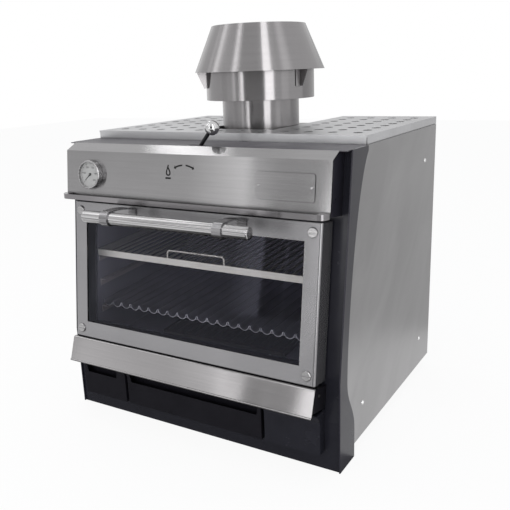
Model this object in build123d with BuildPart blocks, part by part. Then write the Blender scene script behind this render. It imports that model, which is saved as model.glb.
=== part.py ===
# Charcoal oven with a drop-down glass door, ash drawer, flue damper and draught hood.
# Millimetres. x runs to the right, y to the back and z up from the floor.
# The origin is on the floor, under the middle of the box round the whole oven.

import os
from math import cos, radians, sin, tan

from build123d import *

os.makedirs("parts", exist_ok=True)

# Body
BODY_WIDTH = 760.0  # over the black cheeks
BODY_DEPTH = 656.0  # skirt front to rear panel
BODY_TOP = 701.0
FLOOR_GAP = 2.0  # under the skirt
PANEL_BOTTOM = 30.0  # lower edge of the side panels
SHEET = 2.0  # stainless casing
CHEEK_T = 3.0
FRAME_T = 4.0
FIT = 0.3  # between pieces that are pushed together
LEAN = radians(7.4)  # backward lean of the front
BEND_Z = 120.0  # height at which the front starts to lean
FRAME_SET = 4.0  # frame face behind the skirt line

# Cheek outline, measured from the skirt line
CHEEK_BEND_Z = 215.0
CHEEK_TOP_DEPTH = 147.0
CHEEK_SHOULDER_Z = 690.0
CHEEK_FLANK_DEPTH = 82.0
CHEEK_FLANK_Z = 619.0
CHEEK_WAIST_Z = 205.0
CHEEK_WAIST_DEPTH = 38.0
CHEEK_HOLLOW = 90.0  # how far the hollow lies below the middle of waist and flank
CHEEK_FOOT_Z = 75.0
CHEEK_FOOT_DEPTH = 80.0

# Cooking chamber
CHAMBER_INSET = 75.0  # chamber wall to the outside of the cheek
CHAMBER_WIDTH = BODY_WIDTH - 2 * CHAMBER_INSET
WOOL_BACK = 76.0  # chamber to the rear panel's outside
CHAMBER_BACK = BODY_DEPTH - WOOL_BACK  # behind the skirt line
CHAMBER_FLOOR = 180.0
CHAMBER_ROOF = 640.0
PLATE = 4.0
WOOL_TOP = 680.0
MOUTH_LIP = 2.0  # frame in front of the chamber wall
MOUTH_WIDTH = CHAMBER_WIDTH - 2 * MOUTH_LIP
MOUTH_HEIGHT = 272.0

# Door, given along the leaning front from its bend
DOOR_INSET = 41.0  # from the outside of the cheek
DOOR_WIDTH = BODY_WIDTH - 2 * DOOR_INSET
DOOR_HEIGHT = 347.0
DOOR_MID = 265.0
DOOR_STAND = 56.5  # door face in front of the frame face
DOOR_GAP = 4.0  # door back to frame face
DOOR_SHEET = 2.5
SIDE_RAIL = 38.0
CROSS_RAIL = 41.0
GLASS_T = 5.0
GLASS_LAP = 8.0
LINER_SET = 4.0  # liner outside the window edge
SEAL_WIDTH = 8.0
CORNER_SCREW_R = 11.0
CORNER_SCREW_EDGE = 20.0
DOOR_BEND = 6.0  # radius of the folded side edges

# Door hinge
HINGE_UP = 15.5  # hinge line above the door's lower edge
HINGE_BEHIND = 11.5  # hinge line behind the door face
HINGE_INSET = 69.0  # from the door's side
HINGE_X = DOOR_WIDTH / 2 - HINGE_INSET
HINGE_PIN_R = 4.0
HINGE_ARM_T = 12.0
HINGE_ARM_H = 12.0
HINGE_EYE_R = 8.5
RUN = 0.05  # radial clearance of a running bore

# Door handle
HANDLE_R = 14.0
HANDLE_WALL = 2.0
HANDLE_LENGTH = 432.0
HANDLE_STAND = 87.0  # tube axis in front of the door face
HANDLE_UP = 149.5  # tube axis above the door's middle
BRACKET_X = 152.0
BRACKET_WIDTH = 22.0
STRAP = 3.5

# Fascia
FASCIA_INSET = 22.0  # from the outside of the cheek
FASCIA_WIDTH = BODY_WIDTH - 2 * FASCIA_INSET
FASCIA_LOW = 449.6
FASCIA_HIGH = 562.4
FASCIA_STAND = 63.0
CHAMFER_DEPTH = 46.0  # rear edge of the chamfer behind the skirt line
LEDGE_OUT = 24.0
LEDGE_HEIGHT = 12.0
PLATE_INSET = 103.0  # middle of the nameplate from the fascia's right end
PLATE_X = FASCIA_WIDTH / 2 - PLATE_INSET
PLATE_WIDTH = 136.0
PLATE_HEIGHT = 57.0

# Thermometer
DIAL_INSET = 84.0  # middle of the dial from the fascia's left end
DIAL_X = -FASCIA_WIDTH / 2 + DIAL_INSET
DIAL_R = 34.0
DIAL_DEPTH = 15.0
PROBE_R = 3.0
PROBE_LENGTH = 155.0
NEEDLE_LENGTH = 23.0
NEEDLE_REST = 228.0  # clockwise from straight up, seen from the front

# Flue, damper and hood
FLUE_Y = 362.0  # behind the skirt line
FLUE_R = 99.0
FLUE_TOP = 800.0
FLUE_SHEET = 1.5
DAMPER_Z = 688.0
DAMPER_Y = 65.0  # lever behind the skirt line
SHAFT_R = 5.0
LEVER_LENGTH = 68.0
LEVER_REST = 40.0  # degrees to the right of upright
KNOB_R = 16.5
FLAP_R = 94.0
DRUM_R = 138.6
DRUM_BOTTOM = 789.0
DRUM_TOP = 876.0
CONE_R = 165.7
CONE_TOP_R = 118.4
CONE_BOTTOM = 858.0
CONE_TOP = 968.5
CONE_BRACKET_BOTTOM = 819.0

# Top tray
TRAY_INSET = 6.0  # from the outside of the cheek
TRAY_WIDTH = BODY_WIDTH - 2 * TRAY_INSET
TRAY_FRONT = 152.0
TRAY_OVERHANG = 9.0  # behind the rear panel
TRAY_REAR = BODY_DEPTH + TRAY_OVERHANG
TRAY_TOP = 720.5
NOTCH_HALF = 102.0
NOTCH_FRONT = 241.0
HOLE_R = 11.0
HOLE_PITCH_X = 60.4
HOLE_PITCH_Y = 56.3
HOLE_MARGIN = 40.0  # from a side or the rear of the tray to the first hole, at least
HOLE_FIRST = 55.0  # first row behind the tray's front edge
HOLE_COLUMNS = int((TRAY_WIDTH - 2 * HOLE_MARGIN) / HOLE_PITCH_X) + 1
HOLE_ROWS = int((TRAY_REAR - TRAY_FRONT - HOLE_FIRST - HOLE_MARGIN) / HOLE_PITCH_Y) + 1

# Lower front
APRON_INSET = 37.0  # from the outside of the cheek
APRON_HALF = BODY_WIDTH / 2 - APRON_INSET
APRON_LIP = 45.5  # lip in front of the skirt line
APRON_LIP_Z = 217.5
APRON_HEM = 66.7
APRON_HEM_Z = 156.3
APRON_BACK_Z = 206.0
LOWER_INSET = 38.0  # from the outside of the cheek
LOWER_HALF = BODY_WIDTH / 2 - LOWER_INSET
LOWER_OUT = 22.0  # drawer fronts in front of the skirt line
LOWER_FLARE = 38.0
LOWER_BOTTOM = 48.0
LOWER_TOP = 150.0
FLARE_Z = 115.0  # where the flare starts
CENTRE_HALF = 196.0
RUN_GAP = 0.5  # closed drawer to frame face
PANEL_GAP = 8.0
PULL_Z = 108.0
PULL_MARGIN = 12.0
PULL_SLANT = 8.0
PAN_BOTTOM = 66.0
PAN_TOP = 112.0
PAN_MARGIN = 16.0  # pan narrower than its front
PAN_HALF = CENTRE_HALF - PAN_MARGIN
PAN_LENGTH = 470.0
SIDE_PAN_WIDTH = 112.0
SIDE_PAN_LENGTH = 300.0

# Racks
RACK_Z = 416.0
RACK_BAR = 16.0
RACK_ROD_R = 3.0
RACK_PITCH = 21.0
RACK_FRONT = 48.0
RACK_REAR_GAP = 17.0  # rack to the chamber's rear wall
RACK_DEPTH = CHAMBER_BACK - RACK_FRONT - RACK_REAR_GAP
RACK_SIDE_GAP = 4.0
BAIL_HALF = 80.0
BAIL_RISE = 19.0
GRILL_Z = 284.0
GRILL_PITCH = 29.1
GUIDE = 18.0
GUIDE_SET = 10.0  # guides behind the racks' front

# Places worked out from the sizes above
INNER = BODY_WIDTH / 2 - CHEEK_T  # inner face of the cheeks
CASE = INNER - SHEET  # inner face of the side panels
HANDLE_SLOPE = DOOR_MID + HANDLE_UP
HANDLE_OFF = DOOR_STAND + HANDLE_STAND
HANDLE_REACH = (
    HANDLE_OFF * cos(LEAN) - HANDLE_SLOPE * sin(LEAN) - FRAME_SET + HANDLE_R + STRAP
)
FRONT = (HANDLE_REACH - TRAY_REAR) / 2  # the skirt line

FACE = Plane(
    origin=(0, FRONT + FRAME_SET, BEND_Z),
    x_dir=(1, 0, 0),
    z_dir=(0, -cos(LEAN), sin(LEAN)),
)
# Section plane of the leaning front: first up the slope, then outwards
SECTION = Plane(
    origin=(0, FRONT + FRAME_SET, BEND_Z),
    x_dir=(0, sin(LEAN), cos(LEAN)),
    z_dir=(1, 0, 0),
)
OUTWARD = Axis(FACE.origin, FACE.z_dir)


def face_y(z):
    """Frame face at a height, as a y."""
    return FRONT + FRAME_SET + max(0.0, z - BEND_Z) * tan(LEAN)


def back_y(z):
    """Rear face of the front frame at a height, as a y."""
    thick = FRAME_T / cos(LEAN) if z > BEND_Z else FRAME_T
    return face_y(z) + thick


def on_front(x, slope, out):
    """A point of the leaning front, from its slope height and distance out."""
    return FACE.from_local_coords(Vector(x, slope, out))


# Front frame, in one bent sheet with the skirt
FRAME_TOP = BODY_TOP - SHEET
PAN_ROOM = 4.0  # round the drawer boxes
centre_open = PAN_HALF + PAN_ROOM
side_mid = -(LOWER_HALF + CENTRE_HALF + PANEL_GAP) / 2
with BuildPart() as front_frame:
    with BuildSketch(Plane.YZ):
        with BuildLine():
            Polyline(
                (FRONT + FRAME_SET, FLOOR_GAP),
                (FRONT + FRAME_SET, BEND_Z),
                (face_y(FRAME_TOP), FRAME_TOP),
                (back_y(FRAME_TOP), FRAME_TOP),
                (back_y(BEND_Z + 0.01), BEND_Z),
                (FRONT + FRAME_SET + FRAME_T, FLOOR_GAP),
                close=True,
            )
        make_face()
    extrude(amount=INNER - FIT, both=True)
    with BuildSketch(FACE):
        with Locations((0, DOOR_MID)):
            Rectangle(MOUTH_WIDTH, MOUTH_HEIGHT)
    extrude(amount=2 * FRAME_T, both=True, mode=Mode.SUBTRACT)
    with BuildSketch(Plane.XZ.offset(-FRONT - FRAME_SET - 2 * FRAME_T)):
        with Locations((0, (PAN_BOTTOM + PAN_TOP) / 2)):
            Rectangle(2 * centre_open, PAN_TOP - PAN_BOTTOM + 2 * PAN_ROOM)
        with Locations((side_mid, (PAN_BOTTOM + PAN_TOP) / 2)):
            Rectangle(SIDE_PAN_WIDTH + 2 * PAN_ROOM, PAN_TOP - PAN_BOTTOM + 2 * PAN_ROOM)
    extrude(amount=4 * FRAME_T, mode=Mode.SUBTRACT)
    with BuildSketch(Plane.XZ.offset(-back_y(DAMPER_Z) + FRAME_T)):
        with Locations((0, DAMPER_Z)):
            Circle(1.5 * SHAFT_R)
    extrude(amount=-2 * FRAME_T)
    with BuildSketch(Plane.XZ.offset(-face_y(DAMPER_Z) + 4 * FRAME_T)):
        with Locations((0, DAMPER_Z)):
            Circle(SHAFT_R + RUN)
    extrude(amount=-8 * FRAME_T, mode=Mode.SUBTRACT)
    with BuildSketch(FACE):
        with Locations((DIAL_X, (FASCIA_LOW + FASCIA_HIGH) / 2)):
            Circle(PROBE_R + FIT)
    extrude(amount=3 * FRAME_T, both=True, mode=Mode.SUBTRACT)
front_frame.part.label = "front_frame"
export_step(front_frame.part, "parts/front_frame.step")

# Cheeks: black plates with an S-shaped rear edge
cheek_rise = (BODY_TOP - CHEEK_BEND_Z) * tan(LEAN)
for side, name in ((-1, "cheek_left"), (1, "cheek_right")):
    with BuildPart() as cheek:
        with BuildSketch(Plane.YZ.offset(side * INNER)):
            with BuildLine():
                foot = (FRONT + CHEEK_FOOT_DEPTH, FLOOR_GAP)
                knee = (FRONT + CHEEK_FOOT_DEPTH, CHEEK_FOOT_Z)
                bend = (CHEEK_WAIST_Z - CHEEK_FOOT_Z) * 0.4
                waist = (FRONT + CHEEK_WAIST_DEPTH, CHEEK_WAIST_Z)
                shoulder = (FRONT + CHEEK_TOP_DEPTH, CHEEK_SHOULDER_Z)
                Bezier(
                    shoulder,
                    (FRONT + CHEEK_FLANK_DEPTH, CHEEK_FLANK_Z),
                    (FRONT + CHEEK_WAIST_DEPTH, (CHEEK_WAIST_Z + CHEEK_FLANK_Z) / 2 - CHEEK_HOLLOW),
                    waist,
                )
                Bezier(
                    waist,
                    (FRONT + CHEEK_WAIST_DEPTH, CHEEK_WAIST_Z - bend),
                    (FRONT + CHEEK_FOOT_DEPTH, CHEEK_FOOT_Z + bend),
                    knee,
                )
                Polyline(
                    knee,
                    foot,
                    (FRONT, FLOOR_GAP),
                    (FRONT, CHEEK_BEND_Z),
                    (FRONT + cheek_rise, BODY_TOP),
                    (FRONT + CHEEK_TOP_DEPTH, BODY_TOP),
                    shoulder,
                )
            make_face()
        extrude(amount=side * CHEEK_T)
    cheek.part.label = name
    export_step(cheek.part, f"parts/{name}.step")

# Side panels of brushed sheet behind the frame
for side, name in ((-1, "side_panel_left"), (1, "side_panel_right")):
    with BuildPart() as side_panel:
        with BuildSketch(Plane.YZ.offset(side * CASE)):
            with BuildLine():
                Polyline(
                    (back_y(0) + FIT, PANEL_BOTTOM),
                    (back_y(0) + FIT, BEND_Z),
                    (back_y(BODY_TOP) + FIT, BODY_TOP),
                    (FRONT + BODY_DEPTH, BODY_TOP),
                    (FRONT + BODY_DEPTH, PANEL_BOTTOM),
                    close=True,
                )
            make_face()
        extrude(amount=side * SHEET)
    side_panel.part.label = name
    export_step(side_panel.part, f"parts/{name}.step")

# Rear panel, roof and base
case_height = BODY_TOP - SHEET - PANEL_BOTTOM
with BuildPart() as rear_panel:
    with Locations((0, FRONT + BODY_DEPTH - SHEET / 2, PANEL_BOTTOM + case_height / 2)):
        Box(2 * (CASE - FIT), SHEET, case_height)
rear_panel.part.label = "rear_panel"
export_step(rear_panel.part, "parts/rear_panel.step")

with BuildPart() as roof_panel:
    with BuildSketch(Plane.XY.offset(BODY_TOP - SHEET)):
        with Locations((0, FRONT + (TRAY_FRONT + BODY_DEPTH) / 2)):
            Rectangle(2 * (CASE - FIT), BODY_DEPTH - TRAY_FRONT)
        with Locations((0, FRONT + FLUE_Y)):
            Circle(FLUE_R + FIT, mode=Mode.SUBTRACT)
    extrude(amount=SHEET)
roof_panel.part.label = "roof_panel"
export_step(roof_panel.part, "parts/roof_panel.step")

base_depth = BODY_DEPTH - SHEET - FRAME_SET - FRAME_T - 2 * FIT
with BuildPart() as base_plate:
    with Locations((0, back_y(0) + FIT + base_depth / 2, PANEL_BOTTOM + CHEEK_T / 2)):
        Box(2 * (CASE - FIT), base_depth, CHEEK_T)
base_plate.part.label = "base_plate"
export_step(base_plate.part, "parts/base_plate.step")

# Feet, set in under the base
FOOT_R = 25.0
FOOT_INSET = 90.0  # from the outside of the cheek
FOOT_X = BODY_WIDTH / 2 - FOOT_INSET
FOOT_FRONT = 110.0
FOOT_REAR = BODY_DEPTH - 96.0
with BuildPart() as feet:
    for foot_y in (FOOT_FRONT, FOOT_REAR):
        for foot_x in (-FOOT_X, FOOT_X):
            with Locations((foot_x, FRONT + foot_y, 0)):
                Cone(
                    FOOT_R, 0.8 * FOOT_R, PANEL_BOTTOM, align=(Align.CENTER, Align.CENTER, Align.MIN)
                )
feet.part.label = "feet"
export_step(feet.part, "parts/feet.step")

# Dark cap strip on top, slotted for the damper lever
cap_depth = TRAY_FRONT - CHAMFER_DEPTH
slot_half = (BODY_TOP - DAMPER_Z) * tan(radians(LEVER_REST)) + 2.2 * SHAFT_R
with BuildPart() as top_cap:
    with BuildSketch(Plane.XY.offset(BODY_TOP - SHEET)):
        with Locations((0, FRONT + CHAMFER_DEPTH + cap_depth / 2)):
            Rectangle(2 * (CASE - FIT), cap_depth - FIT)
        with Locations((0, FRONT + DAMPER_Y)):
            SlotOverall(2 * slot_half, 2 * SHAFT_R + 4, mode=Mode.SUBTRACT)
    extrude(amount=SHEET)
top_cap.part.label = "top_cap"
export_step(top_cap.part, "parts/top_cap.step")

# Fascia: brushed face sheet bent back in a chamfer, on a black box
fascia_out = FASCIA_STAND - SHEET
fascia_foot = on_front(0, FASCIA_LOW, fascia_out)
fascia_edge = on_front(0, FASCIA_HIGH, fascia_out)
face_edge = on_front(0, FASCIA_HIGH, FASCIA_STAND)
face_foot = on_front(0, FASCIA_LOW, FASCIA_STAND)
box_foot = on_front(0, FASCIA_LOW, fascia_out - FIT)
box_edge = on_front(0, FASCIA_HIGH, fascia_out - FIT)
fascia_mid = (FASCIA_LOW + FASCIA_HIGH) / 2
with BuildPart() as fascia:
    with BuildSketch(Plane.YZ):
        with BuildLine():
            Polyline(
                (face_foot.Y, face_foot.Z),
                (face_edge.Y, face_edge.Z),
                (FRONT + CHAMFER_DEPTH, BODY_TOP),
                (FRONT + CHAMFER_DEPTH, BODY_TOP - SHEET),
                (fascia_edge.Y, fascia_edge.Z - 0.3 * SHEET),
                (fascia_foot.Y, fascia_foot.Z),
                close=True,
            )
        make_face()
    extrude(amount=FASCIA_WIDTH / 2, both=True)
    with BuildSketch(FACE.offset(FASCIA_STAND)):
        with Locations((DIAL_X, fascia_mid)):
            Circle(PROBE_R + FIT)
    extrude(amount=2 * SHEET, both=True, mode=Mode.SUBTRACT)
fascia.part.label = "fascia"
export_step(fascia.part, "parts/fascia.step")

with BuildPart() as fascia_box:
    for side in (-1, 1):
        with BuildSketch(Plane.YZ.offset(side * (FASCIA_WIDTH / 2 - SHEET))):
            with BuildLine():
                low_back = on_front(0, FASCIA_LOW, 0)
                Polyline(
                    (box_foot.Y, box_foot.Z),
                    (box_edge.Y, box_edge.Z - SHEET),
                    (FRONT + CHAMFER_DEPTH, FRAME_TOP - FIT),
                    (face_y(FRAME_TOP - FIT), FRAME_TOP - FIT),
                    (low_back.Y, low_back.Z),
                    close=True,
                )
            make_face()
        extrude(amount=-side * SHEET)
    with BuildSketch(SECTION):
        with Locations((FASCIA_LOW + SHEET / 2, (fascia_out - FIT) / 2)):
            Rectangle(SHEET, fascia_out - FIT)
    extrude(amount=FASCIA_WIDTH / 2 - SHEET, both=True)
fascia_box.part.label = "fascia_box"
export_step(fascia_box.part, "parts/fascia_box.step")

# Ledge under the fascia, with a turned-up lip and rounded ends
ledge_top = fascia_foot.Z - FIT
ledge_front = face_foot.Y - LEDGE_OUT
ledge_depth = fascia_foot.Y - ledge_front
LEDGE_ROUND = 20.0
with BuildPart() as ledge:
    with BuildSketch(Plane.XY.offset(ledge_top - SHEET)) as ledge_plan:
        with Locations((0, ledge_front + ledge_depth / 2)):
            Rectangle(FASCIA_WIDTH, ledge_depth)
        fillet(ledge_plan.vertices().group_by(Axis.Y)[0], LEDGE_ROUND)
    extrude(amount=SHEET)
    with BuildSketch(Plane.XY.offset(ledge_top)) as lip_plan:
        with Locations((0, ledge_front + LEDGE_OUT / 2)):
            Rectangle(FASCIA_WIDTH, LEDGE_OUT)
        fillet(lip_plan.vertices().group_by(Axis.Y)[0], LEDGE_ROUND)
        with Locations((0, ledge_front + SHEET + LEDGE_OUT / 2)):
            Rectangle(FASCIA_WIDTH - 2 * LEDGE_ROUND, LEDGE_OUT, mode=Mode.SUBTRACT)
    extrude(amount=LEDGE_HEIGHT - SHEET)
ledge.part.label = "ledge"
export_step(ledge.part, "parts/ledge.step")

# Bare nameplate and its two rivets
with BuildPart() as nameplate:
    with BuildSketch(FACE.offset(FASCIA_STAND)):
        with Locations((PLATE_X, fascia_mid)):
            RectangleRounded(PLATE_WIDTH, PLATE_HEIGHT, 6)
    extrude(amount=SHEET)
nameplate.part.label = "nameplate"
export_step(nameplate.part, "parts/nameplate.step")

RIVET_R = 3.0
RIVET_EDGE = 7.0
with BuildPart() as nameplate_rivets:
    with BuildSketch(FACE.offset(FASCIA_STAND + SHEET)):
        with Locations((PLATE_X, fascia_mid)):
            with GridLocations(PLATE_WIDTH - 2 * RIVET_EDGE, 1, 2, 1):
                Circle(RIVET_R)
    extrude(amount=1.5, taper=30)
nameplate_rivets.part.label = "nameplate_rivets"
export_step(nameplate_rivets.part, "parts/nameplate_rivets.step")

# Thermometer: cup with its probe, dial with the pivot, needle and glass
DIAL_RIM = 3.0
DIAL_FLOOR = 3.0
DIAL_T = 0.8
PIVOT_R = 0.75
NEEDLE_T = 0.8
LENS_T = 1.5
dial_face = FASCIA_STAND + DIAL_FLOOR + DIAL_T
with BuildPart() as thermometer_case:
    with BuildSketch(FACE.offset(FASCIA_STAND)):
        with Locations((DIAL_X, fascia_mid)):
            Circle(DIAL_R)
    extrude(amount=DIAL_DEPTH)
    chamfer(thermometer_case.faces().sort_by(OUTWARD)[-1].edges(), 1.2)
    with BuildSketch(FACE.offset(FASCIA_STAND + DIAL_FLOOR)):
        with Locations((DIAL_X, fascia_mid)):
            Circle(DIAL_R - DIAL_RIM)
    extrude(amount=DIAL_DEPTH, mode=Mode.SUBTRACT)
    with BuildSketch(FACE.offset(FASCIA_STAND)):
        with Locations((DIAL_X, fascia_mid)):
            Circle(PROBE_R)
    extrude(amount=-PROBE_LENGTH)
thermometer_case.part.label = "thermometer_case"
export_step(thermometer_case.part, "parts/thermometer_case.step")

with BuildPart() as thermometer_dial:
    with BuildSketch(FACE.offset(FASCIA_STAND + DIAL_FLOOR)):
        with Locations((DIAL_X, fascia_mid)):
            Circle(DIAL_R - DIAL_RIM)
    extrude(amount=DIAL_T)
    with BuildSketch(FACE.offset(dial_face)):
        with Locations((DIAL_X, fascia_mid)):
            Circle(PIVOT_R)
    extrude(amount=3)
thermometer_dial.part.label = "thermometer_dial"
export_step(thermometer_dial.part, "parts/thermometer_dial.step")

with BuildPart() as thermometer_needle:
    with BuildSketch(FACE.offset(dial_face + 1)):
        with Locations(Location((DIAL_X, fascia_mid, 0), (0, 0, -NEEDLE_REST))):
            with Locations((0, NEEDLE_LENGTH / 2 - 2)):
                Trapezoid(3.2, NEEDLE_LENGTH + 4, 87)
            Circle(3.5)
            Circle(PIVOT_R + RUN, mode=Mode.SUBTRACT)
    extrude(amount=NEEDLE_T)
thermometer_needle.part.label = "thermometer_needle"
export_step(thermometer_needle.part, "parts/thermometer_needle.step")

with BuildPart() as thermometer_glass:
    with BuildSketch(FACE.offset(FASCIA_STAND + DIAL_DEPTH - 1.5 - LENS_T)):
        with Locations((DIAL_X, fascia_mid)):
            Circle(DIAL_R - DIAL_RIM - RUN)
    extrude(amount=LENS_T)
thermometer_glass.part.label = "thermometer_glass"
export_step(thermometer_glass.part, "parts/thermometer_glass.step")

# Chamber: deck of four plates round the ash hole, walls and roof of thick plate
DECK_HALF = CASE - FIT
deck_top = CHAMBER_FLOOR
wall_x = CHAMBER_WIDTH / 2
GRATE_WIDTH = 360.0
GRATE_DEPTH = 280.0
GRATE_Y = 330.0
GRATE_T = 12.0
GRATE_LAP = 10.0
deck_front = back_y(deck_top)
ash_hole_width = GRATE_WIDTH - 2 * GRATE_LAP
ash_hole_depth = GRATE_DEPTH - 2 * GRATE_LAP
with BuildPart() as chamber_floor:
    with BuildSketch(Plane.XY.offset(deck_top - PLATE)):
        deck_depth = FRONT + BODY_DEPTH - SHEET - FIT - deck_front
        with Locations((0, deck_front + deck_depth / 2)):
            Rectangle(2 * DECK_HALF, deck_depth)
        with Locations((0, FRONT + GRATE_Y)):
            Rectangle(ash_hole_width, ash_hole_depth, mode=Mode.SUBTRACT)
        for side in (-1, 1):
            with Locations((0, FRONT + GRATE_Y + side * (ash_hole_depth + FIT) / 2)):
                Rectangle(4 * DECK_HALF, FIT, mode=Mode.SUBTRACT)
    extrude(amount=PLATE)
chamber_floor.part.label = "chamber_floor"
export_step(chamber_floor.part, "parts/chamber_floor.step")

for side, name in ((-1, "chamber_left"), (1, "chamber_right")):
    with BuildPart() as chamber_side:
        with BuildSketch(Plane.YZ.offset(side * wall_x)):
            with BuildLine():
                Polyline(
                    (back_y(deck_top) + FIT, deck_top),
                    (back_y(CHAMBER_ROOF) + FIT, CHAMBER_ROOF),
                    (FRONT + CHAMBER_BACK, CHAMBER_ROOF),
                    (FRONT + CHAMBER_BACK, deck_top),
                    close=True,
                )
            make_face()
        extrude(amount=side * PLATE)
    chamber_side.part.label = name
    export_step(chamber_side.part, f"parts/{name}.step")

with BuildPart() as chamber_back:
    with BuildSketch(Plane.XZ.offset(-FRONT - CHAMBER_BACK)):
        with Locations((0, (deck_top + CHAMBER_ROOF + PLATE) / 2)):
            Rectangle(2 * (wall_x + PLATE), CHAMBER_ROOF + PLATE - deck_top)
    extrude(amount=-PLATE)
chamber_back.part.label = "chamber_back"
export_step(chamber_back.part, "parts/chamber_back.step")

roof_front = back_y(CHAMBER_ROOF + PLATE)
roof_depth = FRONT + CHAMBER_BACK - roof_front
with BuildPart() as chamber_roof:
    with BuildSketch(Plane.XY.offset(CHAMBER_ROOF)):
        with Locations((0, roof_front + roof_depth / 2)):
            Rectangle(2 * (wall_x + PLATE), roof_depth)
        with Locations((0, FRONT + FLUE_Y)):
            Circle(FLUE_R + FIT, mode=Mode.SUBTRACT)
    extrude(amount=PLATE)
chamber_roof.part.label = "chamber_roof"
export_step(chamber_roof.part, "parts/chamber_roof.step")

# Cast ember grate over the deck opening
GRATE_SLOTS = 13
GRATE_SLOT = 12.0
slot_pitch = (GRATE_WIDTH - 2 * GRATE_LAP - GRATE_SLOT) / (GRATE_SLOTS - 1)
with BuildPart() as ember_grate:
    with BuildSketch(Plane.XY.offset(deck_top)):
        with Locations((0, FRONT + GRATE_Y)):
            RectangleRounded(GRATE_WIDTH, GRATE_DEPTH, 8)
            with GridLocations(slot_pitch, 1, GRATE_SLOTS, 1):
                Rectangle(GRATE_SLOT, GRATE_DEPTH - 4 * GRATE_LAP, mode=Mode.SUBTRACT)
    extrude(amount=GRATE_T)
ember_grate.part.label = "ember_grate"
export_step(ember_grate.part, "parts/ember_grate.step")

# Mineral wool boards round the chamber, four of them on its roof, cut square round the flue
wool_in = wall_x + PLATE + FIT
wool_back = FRONT + BODY_DEPTH - SHEET - FIT
flue_room = 2 * (FLUE_R + 15.0)
with BuildPart() as insulation:
    for side in (-1, 1):
        with BuildSketch(Plane.YZ.offset(side * wool_in)):
            with BuildLine():
                Polyline(
                    (back_y(deck_top) + FIT, deck_top),
                    (back_y(WOOL_TOP) + FIT, WOOL_TOP),
                    (wool_back, WOOL_TOP),
                    (wool_back, deck_top),
                    close=True,
                )
            make_face()
        extrude(amount=side * (CASE - FIT - wool_in))
    with BuildSketch(Plane.XY.offset(deck_top)):
        wool_depth = wool_back - FRONT - CHAMBER_BACK - PLATE
        with Locations((0, wool_back - wool_depth / 2)):
            Rectangle(2 * wool_in - 2 * FIT, wool_depth)
    extrude(amount=WOOL_TOP - deck_top)
    with BuildSketch(Plane.XY.offset(CHAMBER_ROOF + PLATE)):
        top_front = back_y(WOOL_TOP) + FIT
        top_depth = FRONT + CHAMBER_BACK + PLATE - FIT - top_front
        with Locations((0, top_front + top_depth / 2)):
            Rectangle(2 * wool_in - 2 * FIT, top_depth)
        with Locations((0, FRONT + FLUE_Y)):
            Rectangle(flue_room, flue_room, mode=Mode.SUBTRACT)
        for side in (-1, 1):
            with Locations((0, FRONT + FLUE_Y + side * (flue_room + FIT) / 2)):
                Rectangle(4 * wool_in, FIT, mode=Mode.SUBTRACT)
    extrude(amount=WOOL_TOP - CHAMBER_ROOF - PLATE)
insulation.part.label = "insulation"
export_step(insulation.part, "parts/insulation.step")

# Angle guides on the chamber walls, three on each side
guide_length = CHAMBER_BACK - RACK_FRONT - GUIDE_SET
CROSS_BAR = 6.0  # grill's cross bars below its gutters
guide_levels = (GRILL_Z - CROSS_BAR, (GRILL_Z + RACK_Z) / 2, RACK_Z)
with BuildPart() as rack_guides:
    for side in (-1, 1):
        for level in guide_levels:
            with BuildSketch(Plane.XZ.offset(-FRONT - RACK_FRONT - GUIDE_SET)):
                with BuildLine():
                    Polyline(
                        (side * wall_x, level - GUIDE),
                        (side * wall_x, level),
                        (side * (wall_x - GUIDE), level),
                        (side * (wall_x - GUIDE), level - SHEET),
                        (side * (wall_x - SHEET), level - SHEET),
                        (side * (wall_x - SHEET), level - GUIDE),
                        close=True,
                    )
                make_face()
            extrude(amount=-guide_length)
rack_guides.part.label = "rack_guides"
export_step(rack_guides.part, "parts/rack_guides.step")

# Upper rack: flat bar frame, round rods and a wire bail
rack_half = wall_x - RACK_SIDE_GAP
RACK_FLAT = 5.0
rack_rods = int((2 * (rack_half - RACK_FLAT) - RACK_PITCH) / RACK_PITCH)
rod_z = RACK_Z + RACK_BAR - RACK_ROD_R
with BuildPart() as upper_rack:
    with BuildSketch(Plane.XY.offset(RACK_Z)):
        with Locations((0, FRONT + RACK_FRONT + RACK_DEPTH / 2)):
            Rectangle(2 * rack_half, RACK_DEPTH)
            Rectangle(2 * (rack_half - RACK_FLAT), RACK_DEPTH - 2 * RACK_FLAT, mode=Mode.SUBTRACT)
    extrude(amount=RACK_BAR)
    with BuildSketch(Plane.XZ.offset(-FRONT - RACK_FRONT - RACK_FLAT / 2)):
        with Locations((0, rod_z)):
            with GridLocations(RACK_PITCH, 1, rack_rods, 1):
                RegularPolygon(RACK_ROD_R, 8)
    extrude(amount=-(RACK_DEPTH - RACK_FLAT))
    with BuildLine(Plane.XZ.offset(-FRONT - RACK_FRONT - RACK_FLAT / 2)) as bail_line:
        bail_top = RACK_Z + RACK_BAR + BAIL_RISE
        FilletPolyline(
            (-BAIL_HALF, RACK_Z + RACK_BAR - 4),
            (-BAIL_HALF, bail_top),
            (BAIL_HALF, bail_top),
            (BAIL_HALF, RACK_Z + RACK_BAR - 4),
            radius=8,
        )
    with BuildSketch(Plane(bail_line.line @ 0, z_dir=bail_line.line % 0)):
        RegularPolygon(2.4, 8)
    sweep(path=bail_line.line)
upper_rack.part.label = "upper_rack"
export_step(upper_rack.part, "parts/upper_rack.step")

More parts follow.
